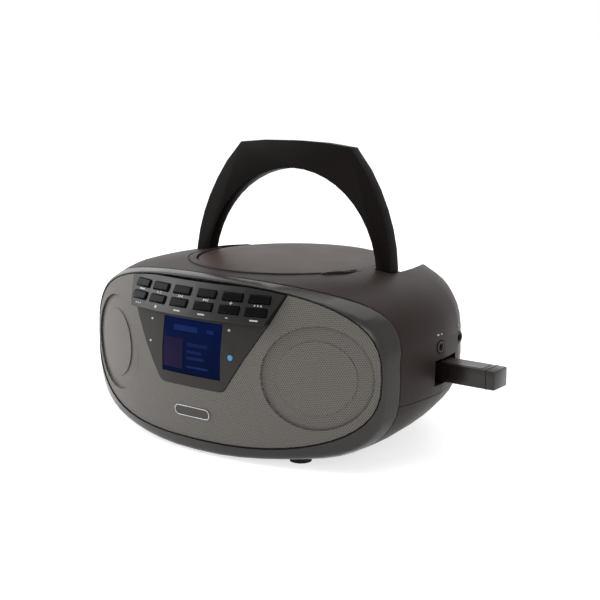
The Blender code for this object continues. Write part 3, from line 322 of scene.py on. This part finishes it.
def new_piece(name, builder, material, body, smooth=30):
    """Turn mesh data into a named piece that rides on a body."""
    bmesh.ops.recalc_face_normals(builder, faces=builder.faces[:])
    mesh = bpy.data.meshes.new(name)
    builder.to_mesh(mesh)
    builder.free()
    mesh.materials.append(material)
    mesh.shade_smooth()
    mesh.set_sharp_from_angle(angle=math.radians(smooth))
    item = bpy.data.objects.new(name, mesh)
    bpy.context.scene.collection.objects.link(item)
    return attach(item, body)


def plate_in(builder, outline, thickness, place=Matrix.Identity(4)):
    """A flat (x, z) outline as a thin solid, from y = 0 out to y = -thickness, carried by place."""
    back = [builder.verts.new(place @ Vector((x, 0.0, z))) for x, z in outline]
    front = [builder.verts.new(place @ Vector((x, -thickness, z))) for x, z in outline]
    builder.faces.new(back)
    builder.faces.new(front)
    count = len(outline)
    for i in range(count):
        j = (i + 1) % count
        builder.faces.new((back[i], back[j], front[j], front[i]))
    return builder


def turned_in(builder, profile, place, sides=24):
    """A closed ring of (radius, height) points turned about local Z and carried by place."""
    rings = []
    for i in range(sides):
        angle = 2 * math.pi * i / sides
        c, s = math.cos(angle), math.sin(angle)
        rings.append([builder.verts.new(place @ Vector((r * c, r * s, h))) for r, h in profile])
    count = len(profile)
    for i in range(sides):
        near, far = rings[i], rings[(i + 1) % sides]
        for j in range(count):
            k = (j + 1) % count
            builder.faces.new((near[j], near[k], far[k], far[j]))
    return builder


def pill(width, height, steps=8):
    """Outline of a bar with round ends."""
    radius = height / 2
    points = []
    for side, start in ((1, -90), (-1, 90)):
        for i in range(steps + 1):
            angle = math.radians(start + 180 * i / steps)
            x = side * (width / 2 - radius) + radius * math.cos(angle)
            points.append((x, radius * math.sin(angle)))
    return points


def square(width, height):
    x, z = width / 2, height / 2
    return [(-x, -z), (x, -z), (x, z), (-x, z)]


def rounded(width, height, corner, steps=3):
    """Outline of a rectangle with round corners."""
    points = []
    for quarter, (sx, sz) in enumerate(((1, 1), (-1, 1), (-1, -1), (1, -1))):
        for i in range(steps + 1):
            angle = math.radians(90 * quarter + 90 * i / steps)
            x = sx * (width / 2 - corner) + corner * math.cos(angle)
            points.append((x, sz * (height / 2 - corner) + corner * math.sin(angle)))
    return points


def shifted(outline, x, z):
    return [(a + x, b + z) for a, b in outline]


def facing(place, normal):
    """A frame on a surface whose local -Y points out along the normal, with local Z upright."""
    out = Vector(normal).normalized()
    across = Vector((0, 0, 1)).cross(-out) if abs(out.z) < 0.95 else Vector((1, 0, 0))
    across.negate()
    across.normalize()
    up = across.cross(-out)
    if up.z < 0 and abs(out.z) < 0.95:
        across.negate()
        up.negate()
    turn = Matrix((across, -out, up)).transposed().to_4x4()
    return Matrix.Translation(place) @ turn


def slice_plate(builder, middle_z, reach, gap=0.0030):
    """Cut a plate into small squares no wider than gap, so that it can follow the bowed front."""
    count = int(reach / gap)
    for step in range(-count, count + 1):
        upright = (step * gap, 0, 0), (1, 0, 0)
        level = (0, 0, middle_z + step * gap), (0, 0, 1)
        for place, normal in (upright, level):
            everything = builder.verts[:] + builder.edges[:] + builder.faces[:]
            bmesh.ops.bisect_plane(
                builder, geom=everything, dist=0.000001, plane_co=place, plane_no=normal
            )


def drape(builder, tree, lift):
    """Carry a plate built at y near 0 onto the surface in front of it, keeping its thickness."""
    for vertex in builder.verts:
        start = Vector((vertex.co.x, -0.3, vertex.co.z))
        place, _ = land(tree, start, (0, 1, 0))
        vertex.co.y += place.y - lift


# ---------------------------------------------------------------- properties

def colour_property(name, description, code):
    return FloatVectorProperty(name=name, description=description, subtype="COLOR", default=linear(code))


class RadioSizes(bpy.types.PropertyGroup):
    """Sizes of the details that the dressing adds."""

    hole_pitch: FloatProperty(
        name="Hole pitch", description="Distance between neighbouring grille holes",
        default=0.0015, unit="LENGTH",
    )
    hole_width: FloatProperty(
        name="Hole width", description="Diameter of a grille hole", default=0.0007, unit="LENGTH",
    )
    edge_radius: FloatProperty(
        name="Edge radius", description="Softness of the moulded edges, in millimetres", default=0.5,
    )
    badge_width: FloatProperty(
        name="Badge width", description="Width of the bare badge plate", default=0.0330, unit="LENGTH",
    )
    badge_height: FloatProperty(
        name="Badge height", description="Height of the bare badge plate", default=0.0080, unit="LENGTH",
    )
    badge_z: FloatProperty(
        name="Badge level", description="Height of the badge above the table", default=0.0320, unit="LENGTH",
    )
    mark_height: FloatProperty(
        name="Mark height", description="Height of the printed control marks", default=0.0020, unit="LENGTH",
    )
    screw_width: FloatProperty(
        name="Screw width", description="Diameter of a case screw's head", default=0.0060, unit="LENGTH",
    )
    grip_ribs: IntProperty(
        name="Grip ribs", description="Ribs on the battery door's finger grip", default=5,
    )


class RadioColours(bpy.types.PropertyGroup):
    """Colours of the finishes."""

    cabinet: colour_property("Cabinet", "Charcoal moulded cabinet", "2A201E")
    lid: colour_property("Lid", "Disc lid, a little lighter than the cabinet", "3E302C")
    handle: colour_property("Handle", "Near-black handle", "15110F")
    rim: colour_property("Front rim", "Rolled rim round the grille", "1C1613")
    satin_black: colour_property("Satin black", "Sockets, well and inner mouldings", "171514")
    panel: colour_property("Panel", "Control panel behind the keys", "2A2725")
    key_bank: colour_property("Key bank", "Dark strip that holds the keys", "161413")
    keys: colour_property("Keys", "Polished keys", "0B0A0A")
    grille: colour_property("Grille paint", "Silver grey paint between the holes", "706C67")
    grille_hole: colour_property("Grille holes", "Dark baffle seen through the holes", "43403E")
    screen: colour_property("Screen", "Unlit display glass", "020512")
    screen_glow: colour_property("Screen light", "Backlight of the display", "05143F")
    status_glow: colour_property("Status light", "Lit light guide beside the display", "4F88A8")
    print_ink: colour_property("Print", "Pad-printed marks", "CFCBC5")
    chrome: colour_property("Chrome", "Plated aerial and trim", "D8D8DA")
    steel: colour_property("Steel", "Zinc-plated steel", "B4B5B8")
    badge: colour_property("Badge", "Dark brushed badge plate", "4A4745")
    copper: colour_property("Copper", "Varnished winding", "8E5A34")
    board: colour_property("Board", "Solder mask", "1E4A30")
    cone: colour_property("Cone", "Pressed paper cones", "242426")
    rubber: colour_property("Rubber", "Feet", "161616")
    floor: colour_property("Floor", "Plain pale floor", "E8E8E8")


def sizes():
    return bpy.context.scene.radio_sizes


def colours():
    return bpy.context.scene.radio_colours


def finish_of(name):
    """A finish by its name, made on first use."""
    found = bpy.data.materials.get(name)
    if found:
        return found
    paint = colours()
    edge = sizes().edge_radius
    makers = {
        "textured_abs_charcoal": lambda: moulded_abs(
            name, paint.cabinet, 0.44, 0.6, 0.03, edge, Specular_IOR_Level=0.16),
        "textured_abs_lid": lambda: moulded_abs(
            name, paint.lid, 0.44, 0.6, 0.025, edge, Specular_IOR_Level=0.16),
        "satin_abs_handle": lambda: moulded_abs(
            name, paint.handle, 0.46, 0.8, 0.02, edge, Specular_IOR_Level=0.05),
        "satin_abs_rim": lambda: moulded_abs(
            name, paint.rim, 0.24, 0.8, 0.006, edge, Specular_IOR_Level=0.45),
        "satin_abs_black": lambda: moulded_abs(
            name, paint.satin_black, 0.42, 0.9, 0.02, edge, Specular_IOR_Level=0.12),
        "two_tone_abs_panel": lambda: two_tone_abs(name, paint.panel, paint.key_bank, KEY_BANK_Z, edge),
        "polished_abs_keys": lambda: polished_abs(name, paint.keys, 0.24, 0.35, Specular_IOR_Level=0.045),
        # painted highlight: the lid's lighter colour, glossy, for the sheen on the stick's top plate
        "polished_abs_painted_sheen": lambda: polished_abs(name, paint.lid, 0.30, 0.5, Specular_IOR_Level=0.7),
        "perforated_steel_silver": lambda: perforated_steel(
            name, paint.grille, paint.grille_hole, sizes().hole_pitch, sizes().hole_width),
        "backlit_acrylic": lambda: lit_window(name, paint.screen, paint.screen_glow, 0.9),
        "lit_guide_cyan": lambda: glowing(name, paint.status_glow, paint.status_glow, 0.4),
        "chromed_brass": lambda: plated_metal(name, paint.chrome, 0.12, 0.5, (0.05, 1.0, 1.0), 0.002),
        "zinc_plated_steel": lambda: plated_metal(name, paint.steel, 0.34),
        "brushed_badge_steel": lambda: plated_metal(name, paint.badge, 0.42, 0.4, (0.05, 1.0, 1.0)),
        "varnished_copper": lambda: plated_metal(name, paint.copper, 0.35, 0.6, (1.0, 0.1, 1.0), 0.05),
        "solder_mask": lambda: dull_solid(name, paint.board, 0.45, 1.2, 0.01),
        "pressed_paper": lambda: dull_solid(name, paint.cone, 0.9, 0.8, 0.05),
        "moulded_rubber": lambda: dull_solid(name, paint.rubber, 0.85, 0.7, 0.03),
        "pad_printed_ink": lambda: dull_solid(name, paint.print_ink, 0.6, 0.5, 0.005, 0.08),
    }
    return makers[name]()


class Dresser:
    """What every operator of the dressing shares."""

    bl_options = {"REGISTER", "UNDO"}

    def execute(self, context):
        self.build()
        return {"FINISHED"}


# ---------------------------------------------------------------- pieces

class RADIO_OT_cabinet(Dresser, bpy.types.Operator):
    """Finish the cabinet shells"""

    bl_idname = "radio.cabinet"
    bl_label = "Cabinet"

    def build(self):
        for name in ("upper_cabinet", "lower_cabinet"):
            dress(name, finish_of("textured_abs_charcoal"), 28)


class RADIO_OT_front(Dresser, bpy.types.Operator):
    """Finish the front rim and the grille sheet"""

    bl_idname = "radio.front"
    bl_label = "Front rim and grille"

    def build(self):
        dress("front_bezel", finish_of("satin_abs_rim"), 28)
        dress("front_grille", finish_of("perforated_steel_silver"), 24)


class RADIO_OT_panel(Dresser, bpy.types.Operator):
    """Finish the control panel and print its marks"""

    bl_idname = "radio.panel"
    bl_label = "Control panel"

    MARK_COLUMNS = (-0.0545, -0.0335, -0.0115, 0.0115, 0.0335, 0.0545)
    MARK_ROWS = (0.1150, 0.1054)
    MARK_KINDS = (
        ("dash", "play", "back", "next", "plus", "dots"),
        ("dots", "stop", "dash", "dash", "minus", "dash"),
    )
    DOTS = ((-0.041, 0.095), (-0.041, 0.079), (0.033, 0.096))

    def build(self):
        dress("control_panel", finish_of("two_tone_abs_panel"))
        self.print_marks()
        self.print_dots()

    def mark(self, kind):
        """Outlines of one plain control symbol, round its middle."""
        tall = sizes().mark_height
        right = [(-tall * 0.45, -tall / 2), (tall * 0.45, 0.0), (-tall * 0.45, tall / 2)]
        left = [(-x, z) for x, z in reversed(right)]
        bar = square(tall * 0.28, tall)
        gap = tall * 0.95
        shapes = {
            "play": [shifted(right, -tall, 0), shifted(bar, tall * 0.1, 0), shifted(bar, tall * 0.75, 0)],
            "stop": [square(tall, tall)],
            "back": [shifted(bar, -gap * 1.25, 0), shifted(left, -gap * 0.55, 0), shifted(left, gap * 0.5, 0)],
            "next": [shifted(right, -gap * 0.5, 0), shifted(right, gap * 0.55, 0), shifted(bar, gap * 1.25, 0)],
            "plus": [square(tall * 1.1, tall * 0.3), shifted(square(tall * 0.3, tall * 0.4), 0, tall * 0.35),
                     shifted(square(tall * 0.3, tall * 0.4), 0, -tall * 0.35)],
            "minus": [square(tall * 1.1, tall * 0.3)],
            "dash": [pill(tall * 3.2, tall * 0.5)],
            "dots": [pill(tall * 0.6, tall * 0.6), shifted(pill(tall * 0.6, tall * 0.6), tall * 1.2, 0),
                     shifted(pill(tall * 0.6, tall * 0.6), -tall * 1.2, 0)],
        }
        return shapes[kind]

    def print_marks(self):
        tree = surface_of("control_panel")
        builder = bmesh.new()
        for z, kinds in zip(self.MARK_ROWS, self.MARK_KINDS):
            for x, kind in zip(self.MARK_COLUMNS, kinds):
                for outline in self.mark(kind):
                    plate_in(builder, shifted(outline, x, z), 0.00005)
        drape(builder, tree, 0.00001)
        new_piece("panel_marks", builder, finish_of("pad_printed_ink"), "cabinet")

    def print_dots(self):
        tree = surface_of("control_panel")
        builder = bmesh.new()
        for x, z in self.DOTS:
            plate_in(builder, shifted(pill(0.0022, 0.0016), x, z), 0.00005)
        drape(builder, tree, 0.00001)
        new_piece("panel_dots", builder, finish_of("pad_printed_ink"), "cabinet")


class RADIO_OT_keys(Dresser, bpy.types.Operator):
    """Finish the twelve keys"""

    bl_idname = "radio.keys"
    bl_label = "Keys"

    def build(self):
        for number in range(1, 13):
            dress(f"key_{number:02d}", finish_of("polished_abs_keys"), 40)


class RADIO_OT_screen(Dresser, bpy.types.Operator):
    """Light the display and the status light, and draw the display's blocks"""

    bl_idname = "radio.screen"
    bl_label = "Display and status light"

    def build(self):
        dress("display_window", finish_of("backlit_acrylic"))
        dress("display_module", finish_of("satin_abs_black"))
        dress("status_led", finish_of("lit_guide_cyan"), 40)
        blocks = {
            "screen_picture": ("150C2C", 0.45, [shifted(square(0.0190, 0.0215), -0.0170, 0.0740)]),
            "screen_title": ("0A1D4E", 0.4, [shifted(square(0.0230, 0.0040), -0.0060, 0.0925),
                                             shifted(square(0.0060, 0.0026), 0.0170, 0.0925)]),
            "screen_lines": ("071642", 0.4, [shifted(square(0.0190, 0.0026), 0.0060, 0.0815),
                                             shifted(square(0.0140, 0.0022), 0.0035, 0.0765),
                                             shifted(square(0.0160, 0.0022), 0.0045, 0.0720)]),
            "screen_bar": ("0A1E52", 0.4, [shifted(pill(0.0200, 0.0014), 0.0065, 0.0655)]),
        }
        tree = surface_of("display_window")
        for name, (code, strength, outlines) in blocks.items():
            builder = bmesh.new()
            for outline in outlines:
                plate_in(builder, outline, 0.00004)
            slice_plate(builder, SCREEN_MIDDLE_Z, 0.0300)
            drape(builder, tree, 0.00006)
            colour = linear(code)
            new_piece(name, builder, glowing(name, colour, colour, strength), "cabinet")


class RADIO_OT_badge(Dresser, bpy.types.Operator):
    """Set a bare badge plate with a bright rim on the grille"""

    bl_idname = "radio.badge"
    bl_label = "Bare badge plate"

    def build(self):
        tree = surface_of("front_grille")
        width, height, level = sizes().badge_width, sizes().badge_height, sizes().badge_z
        builder = bmesh.new()
        inner = shifted(pill(width - 0.0014, height - 0.0014, 10), 0, level)
        plate_in(builder, inner, 0.0009)
        slice_plate(builder, level, width / 2)
        drape(builder, tree, 0.00002)
        new_piece("badge_plate", builder, finish_of("brushed_badge_steel"), "cabinet")
        builder = bmesh.new()
        outer = shifted(pill(width, height, 10), 0, level)
        inner = shifted(pill(width - 0.0013, height - 0.0013, 10), 0, level)
        self.ring_in(builder, outer, inner, 0.0011)
        drape(builder, tree, 0.00002)
        new_piece("badge_rim", builder, finish_of("zinc_plated_steel"), "cabinet")

    def ring_in(self, builder, outer, inner, thickness):
        loops = [
            [builder.verts.new((x, y, z)) for x, z in outline]
            for outline, y in ((outer, 0.0), (outer, -thickness), (inner, -thickness), (inner, 0.0))
        ]
        count = len(outer)
        for a in range(4):
            near, far = loops[a], loops[(a + 1) % 4]
            for i in range(count):
                j = (i + 1) % count
                builder.faces.new((near[i], near[j], far[j], far[i]))


class RADIO_OT_lid(Dresser, bpy.types.Operator):
    """Finish the disc lid, the well and the hub"""

    bl_idname = "radio.lid"
    bl_label = "Disc lid and well"

    SUNK = 0.0001  # how deep the ridges sit in the deck
    LOOK_STEP = 0.008  # how far apart the deck is looked for, going forward

    def build(self):
        dress("cd_lid", finish_of("textured_abs_lid"), 30)
        dress("cd_deck", finish_of("satin_abs_black"), 30)
        dress("turntable_hub", finish_of("polished_abs_keys"), 35)
        low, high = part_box("cd_lid")
        self.middle_y = low.y + (high.x - low.x) / 2  # the lid is round; its ears lie behind it
        # the two dark ridges below are painted shadow along the lid's front edge
        self.shade_strip()
        self.shade_tab()

    def ridge(self, name, finish, ends, radius, width, heights, steps):
        """A low curved ridge lying on the deck in front of the lid, higher towards one end."""
        tree = surface_of("upper_cabinet")
        builder = bmesh.new()
        rows = []
        for i in range(steps + 1):
            share = i / steps
            angle = math.radians(ends[0] + (ends[1] - ends[0]) * share)
            swell = math.sin(math.pi * share) ** 0.5
            rise = heights[0] + (heights[1] - heights[0]) * share
            row = []
            for out, up in ((-0.5, 0.0), (-0.35, 1.0), (0.35, 1.0), (0.5, 0.0)):
                reach = radius + out * width * (0.3 + 0.7 * swell)
                x, y = reach * math.cos(angle), self.middle_y + reach * math.sin(angle)
                z = self.deck_level(tree, x, y) + up * rise * swell - self.SUNK
                row.append(builder.verts.new((x, y, z)))
            rows.append(row)
        for near, far in zip(rows, rows[1:]):
            for i in range(4):
                j = (i + 1) % 4
                builder.faces.new((near[i], near[j], far[j], far[i]))
        builder.faces.new(rows[0])
        builder.faces.new(rows[-1])
        new_piece(name, builder, finish_of(finish), "cabinet", 40)

    def deck_level(self, tree, x, y):
        """The highest deck here or just in front, so that the finger scoop is passed over."""
        levels = []
        for step in range(4):
            start = Vector((x, y - step * self.LOOK_STEP, 0.3))
            place, _, _, _ = tree.ray_cast(start, Vector((0, 0, -1)))
            if place is not None:
                levels.append(place.z)
        if not levels:
            raise RuntimeError(f"no deck near {x:.4f}, {y:.4f}")
        return max(levels)

    def shade_strip(self):
        """Painted shadow: a dark rubber-finished strip round the front of the lid's seat, standing for the
        shade under the lid's front edge.
        """
        self.ridge("lid_front_painted_shadow", "moulded_rubber", (-168, -12), 0.0808, 0.0016, (0.0006, 0.0012), 48)

    def shade_tab(self):
        """Painted shadow: a dark raised pad in the front strip, at the lid's front right, standing for the
        shade in the finger notch under the lid's edge.
        """
        self.ridge("lid_notch_painted_shadow", "satin_abs_black", (-39, -21), 0.0822, 0.0046, (0.0021, 0.0021), 14)


class RADIO_OT_mechanism(Dresser, bpy.types.Operator):
    """Finish the disc mechanism"""

    bl_idname = "radio.mechanism"
    bl_label = "Disc mechanism"

    def build(self):
        steel = ("mechanism_chassis", "sled_rail_left", "sled_rail_right", "sled_screw", "spindle_motor")
        for name in steel:
            dress(name, finish_of("zinc_plated_steel"), 35)
        dress("laser_pickup", finish_of("satin_abs_black"), 35)


class RADIO_OT_handle(Dresser, bpy.types.Operator):
    """Finish the carrying handle"""

    bl_idname = "radio.handle"
    bl_label = "Handle"

    def build(self):
        dress("handle", finish_of("satin_abs_handle"), 28)


class RADIO_OT_sockets(Dresser, bpy.types.Operator):
    """Finish the side sockets and the memory stick"""

    bl_idname = "radio.sockets"
    bl_label = "Side sockets and stick"

    def build(self):
        dress("usb_socket", finish_of("zinc_plated_steel"))
        dress("usb_stick", finish_of("satin_abs_rim"), 35)
        self.stick_trim()
        for name in ("aux_jack", "headphone_jack"):
            dress(name, finish_of("satin_abs_black"), 35)
            self.sleeve(name)
        self.side_marks()

    def sleeve(self, name):
        """Bright contact ring round a jack's mouth."""
        low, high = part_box(name)
        place = Matrix.Translation((high.x, (low.y + high.y) / 2, (low.z + high.z) / 2))
        place = place @ Matrix.Rotation(math.pi / 2, 4, "Y")
        builder = bmesh.new()
        profile = [(0.0029, 0.0), (0.0040, 0.0), (0.0040, 0.0003), (0.0037, 0.0005), (0.0031, 0.0005)]
        turned_in(builder, profile, place, 28)
        new_piece(f"{name}_ring", builder, finish_of("brushed_badge_steel"), "cabinet")

    def stick_trim(self):
        """A glossy top plate and the seam of the stick's cap; the plate's colour, lighter than the stick's, is
        painted highlight for the sheen on the stick's top, over real gloss.
        """
        low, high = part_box("usb_stick")
        middle = (low.y + high.y) / 2
        length = high.x - STICK_SHOULDER_X
        builder = bmesh.new()
        turn = Matrix.Rotation(-math.pi / 2, 4, "X")
        place = Matrix.Translation((STICK_SHOULDER_X + length * 0.46, middle, high.z - 0.0001)) @ turn
        plate_in(builder, rounded(length * 0.66, 0.0150, 0.0020), 0.0004, place)
        new_piece("stick_top_sheen_plate", builder, finish_of("polished_abs_painted_sheen"), "stick")
        builder = bmesh.new()
        face = Matrix.Rotation(math.pi / 2, 4, "Z")
        seam = STICK_SHOULDER_X + length * 0.86
        size = (high.y - low.y + 0.0003, high.z - low.z + 0.0003)
        band = Matrix.Translation((seam, middle, (low.z + high.z) / 2)) @ face
        plate_in(builder, rounded(*size, 0.0013), 0.0007, band)
        new_piece("stick_seam", builder, finish_of("moulded_rubber"), "stick")

    def side_marks(self):
        tree = surface_of("upper_cabinet")
        builder = bmesh.new()
        for name in ("aux_jack", "headphone_jack"):
            low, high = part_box(name)
            middle = (low.y + high.y) / 2
            for shift, size in ((-0.0022, 0.0030), (0.0022, 0.0018)):
                start = (0.3, middle + shift, high.z + 0.0045)
                place, normal = land(tree, start, (-1, 0, 0))
                plate_in(builder, pill(size, 0.0011, 4), 0.00006, facing(place, normal))
        new_piece("socket_marks", builder, finish_of("pad_printed_ink"), "cabinet")


class RADIO_OT_speakers(Dresser, bpy.types.Operator):
    """Finish the two speakers"""

    bl_idname = "radio.speakers"
    bl_label = "Speakers"

    def build(self):
        for side in ("left", "right"):
            dress(f"speaker_basket_{side}", finish_of("zinc_plated_steel"), 35)
            dress(f"speaker_magnet_{side}", finish_of("zinc_plated_steel"), 35)
            dress(f"speaker_cone_{side}", finish_of("pressed_paper"), 50)


class RADIO_OT_power(Dresser, bpy.types.Operator):
    """Finish the boards, the transformer, the inlet and the battery bay"""

    bl_idname = "radio.power"
    bl_label = "Power and boards"

    def build(self):
        for name in ("main_board", "front_board", "key_board"):
            dress(name, finish_of("solder_mask"))
        dress("power_transformer", finish_of("varnished_copper"))
        dress("mains_inlet", finish_of("satin_abs_black"), 40)
        dress("battery_door", finish_of("textured_abs_charcoal"))
        for side in ("left", "right"):
            dress(f"battery_contact_{side}", finish_of("zinc_plated_steel"))
        self.grip()

    def grip(self):
        """Finger ribs at the battery door's opening edge."""
        low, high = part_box("battery_door")
        builder = bmesh.new()
        turn = Matrix.Rotation(math.pi / 2, 4, "X")
        for rib in range(sizes().grip_ribs):
            y = high.y - 0.0050 - rib * 0.0022
            place = Matrix.Translation((0, y, low.z + 0.00001)) @ turn.inverted()
            plate_in(builder, pill(0.0180, 0.0010), -0.0004, place)
        new_piece("door_grip_ribs", builder, finish_of("textured_abs_charcoal"), "door")


class RADIO_OT_aerial(Dresser, bpy.types.Operator):
    """Finish the telescopic aerial"""

    bl_idname = "radio.aerial"
    bl_label = "Aerial"

    def build(self):
        dress("aerial_mount", finish_of("satin_abs_black"), 40)
        for name in ("aerial_knuckle", "aerial_outer_tube", "aerial_middle_tube", "aerial_tip"):
            dress(name, finish_of("chromed_brass"), 40)


class RADIO_OT_feet(Dresser, bpy.types.Operator):
    """Finish the four feet"""

    bl_idname = "radio.feet"
    bl_label = "Feet"

    def build(self):
        for name in ("foot_front_left", "foot_front_right", "foot_rear_left", "foot_rear_right"):
            dress(name, finish_of("moulded_rubber"), 40)


class RADIO_OT_fixings(Dresser, bpy.types.Operator):
    """Drive the case screws into the underside and the back"""

    bl_idname = "radio.fixings"
    bl_label = "Case screws"

    UNDERSIDE = ((-0.105, -0.028), (0.105, -0.028), (-0.088, 0.040), (0.088, 0.040))
    BACK = ((-0.085, 0.070), (0.085, 0.070), (0.0, 0.070))

    def build(self):
        lower, upper = surface_of("lower_cabinet"), surface_of("upper_cabinet")
        places = [land(lower, (x, y, -0.1), (0, 0, 1)) for x, y in self.UNDERSIDE]
        places += [land(upper, (x, 0.3, z), (0, -1, 0)) for x, z in self.BACK]
        heads, slots = bmesh.new(), bmesh.new()
        for place, normal in places:
            upright = Vector((0, 0, 1)).rotation_difference(normal).to_matrix().to_4x4()
            seat = Matrix.Translation(place) @ upright
            self.head_in(heads, seat)
            self.cross_in(slots, seat)
        new_piece("case_screw_heads", heads, finish_of("zinc_plated_steel"), "cabinet")
        new_piece("case_screw_slots", slots, finish_of("satin_abs_black"), "cabinet")

    def head_in(self, builder, seat):
        radius = sizes().screw_width / 2
        profile = [
            (radius * 0.05, -0.0004), (radius, -0.0004), (radius, 0.0003), (radius * 0.8, 0.0007),
            (radius * 0.4, 0.0009), (radius * 0.05, 0.0009),
        ]
        turned_in(builder, profile, seat, 20)

    def cross_in(self, builder, seat):
        reach, half = sizes().screw_width * 0.27, sizes().screw_width * 0.06
        outline = [
            (-half, -reach), (half, -reach), (half, -half), (reach, -half), (reach, half), (half, half),
            (half, reach), (-half, reach), (-half, half), (-reach, half), (-reach, -half), (-half, -half),
        ]
        flat = seat @ Matrix.Translation((0, 0, 0.0010)) @ Matrix.Rotation(math.pi / 2, 4, "X")
        plate_in(builder, outline, 0.0001, flat)


class RADIO_OT_stage(Dresser, bpy.types.Operator):
    """Build the floor, the soft light and the camera"""

    bl_idname = "radio.stage"
    bl_label = "Stage"

    AIM = (0.0, 0.0, 0.065)
    AZIMUTH = 36.91
    ELEVATION = 11.25
    DISTANCE = 0.9785
    SHIFT_RIGHT = 0.01067
    SHIFT_UP = 0.03073
    LENS = 74.89
    FLOOR_GLOW = 0.70
    SKY_GLOW = 0.45

    def build(self):
        self.floor()
        self.world()
        self.lamps()
        self.camera()
        bpy.context.scene.view_settings.view_transform = "Standard"

    def seen_directly(self, tree):
        """1 for rays that show the background: straight, mirrored or through glass."""
        path = add_node(tree, "ShaderNodeLightPath")
        either = add_node(
            tree, "ShaderNodeMath",
            {0: path.outputs["Is Camera Ray"], 1: path.outputs["Is Glossy Ray"]}, operation="MAXIMUM",
        )
        return add_node(
            tree, "ShaderNodeMath",
            {0: either.outputs[0], 1: path.outputs["Is Transmission Ray"]}, operation="MAXIMUM",
        ).outputs[0]

    def floor(self):
        builder = bmesh.new()
        bmesh.ops.create_grid(builder, x_segments=4, y_segments=4, size=6.0)
        mesh = bpy.data.meshes.new("studio_floor")
        builder.to_mesh(mesh)
        builder.free()
        item = bpy.data.objects.new("studio_floor", mesh)
        bpy.context.scene.collection.objects.link(item)
        material, tree, shader = new_surface("painted_board_floor", colours().floor, 0.9)
        shader.inputs["Specular IOR Level"].default_value = 0.0
        shader.inputs["Emission Color"].default_value = (1, 1, 1, 1)
        inputs = {0: self.seen_directly(tree), 1: self.FLOOR_GLOW}
        strength = add_node(tree, "ShaderNodeMath", inputs, operation="MULTIPLY")
        tree.links.new(strength.outputs[0], shader.inputs["Emission Strength"])
        vary_colour(tree, shader, spread(tree, noise(tree, 60.0), 0.3, 0.7), colours().floor, 0.01)
        mesh.materials.append(material)

    def world(self):
        world = bpy.data.worlds.new("studio_world")
        bpy.context.scene.world = world
        world.use_nodes = True
        tree = world.node_tree
        tree.nodes.clear()
        plain = add_node(tree, "ShaderNodeBackground", {"Color": (1, 1, 1, 1), "Strength": 1.0})
        soft = add_node(tree, "ShaderNodeBackground", {"Color": (1, 1, 1, 1), "Strength": self.SKY_GLOW})
        mix = add_node(
            tree, "ShaderNodeMixShader",
            {0: self.seen_directly(tree), 1: soft.outputs[0], 2: plain.outputs[0]},
        )
        add_node(tree, "ShaderNodeOutputWorld", {"Surface": mix.outputs[0]})

    def lamps(self):
        lamps = (
            ("key_light", (-1.45, -0.80, 1.00), 1.1, 19.0),
            ("fill_light", (1.20, -1.10, 0.75), 0.5, 3.0),
            ("top_light", (0.20, 0.40, 1.60), 1.4, 7.0),
        )
        for name, place, size, power in lamps:
            data = bpy.data.lights.new(name, "AREA")
            data.size = size
            data.energy = power
            lamp = bpy.data.objects.new(name, data)
            lamp.location = place
            aim = Vector(self.AIM) - Vector(place)
            lamp.rotation_mode = "QUATERNION"
            lamp.rotation_quaternion = aim.to_track_quat("-Z", "Y")
            lamp.visible_camera = False
            bpy.context.scene.collection.objects.link(lamp)

    def camera(self):
        data = bpy.data.cameras.new("photo_camera")
        data.sensor_width = 36.0
        data.lens = self.LENS
        camera = bpy.data.objects.new("photo_camera", data)
        turn, tilt = math.radians(self.AZIMUTH), math.radians(self.ELEVATION)
        back = Vector((math.sin(turn) * math.cos(tilt), -math.cos(turn) * math.cos(tilt), math.sin(tilt)))
        right = Vector((math.cos(turn), math.sin(turn), 0.0))
        up = back.cross(right)
        camera.location = (
            Vector(self.AIM) + back * self.DISTANCE + right * self.SHIFT_RIGHT + up * self.SHIFT_UP
        )
        camera.rotation_mode = "QUATERNION"
        camera.rotation_quaternion = Matrix((right, up, back)).transposed().to_quaternion()
        bpy.context.scene.collection.objects.link(camera)
        bpy.context.scene.camera = camera


OPERATORS = (
    RADIO_OT_cabinet, RADIO_OT_front, RADIO_OT_panel, RADIO_OT_keys, RADIO_OT_screen, RADIO_OT_badge,
    RADIO_OT_lid, RADIO_OT_mechanism, RADIO_OT_handle, RADIO_OT_sockets, RADIO_OT_speakers,
    RADIO_OT_power, RADIO_OT_aerial, RADIO_OT_feet, RADIO_OT_fixings, RADIO_OT_stage,
)


class RADIO_PT_dressing(bpy.types.Panel):
    """Lists the pieces and their properties"""

    bl_label = "Portable Disc Radio"
    bl_idname = "RADIO_PT_dressing"
    bl_space_type = "VIEW_3D"
    bl_region_type = "UI"
    bl_category = "Radio"

    def draw(self, context):
        layout = self.layout
        for group in (context.scene.radio_sizes, context.scene.radio_colours):
            box = layout.box()
            for key in group.__annotations__:
                box.prop(group, key)
        for operator in OPERATORS:
            layout.operator(operator.bl_idname)


CLASSES = (RadioSizes, RadioColours, *OPERATORS, RADIO_PT_dressing)


def register():
    for cls in CLASSES:
        bpy.utils.register_class(cls)
    bpy.types.Scene.radio_sizes = PointerProperty(type=RadioSizes)
    bpy.types.Scene.radio_colours = PointerProperty(type=RadioColours)


def unregister():
    del bpy.types.Scene.radio_colours
    del bpy.types.Scene.radio_sizes
    for cls in reversed(CLASSES):
        bpy.utils.unregister_class(cls)


def run_operator(operator):
    group, name = operator.bl_idname.split(".")
    getattr(getattr(bpy.ops, group), name)()


def main():
    register()
    for operator in OPERATORS:
        run_operator(operator)


if __name__ == "__main__":
    main()
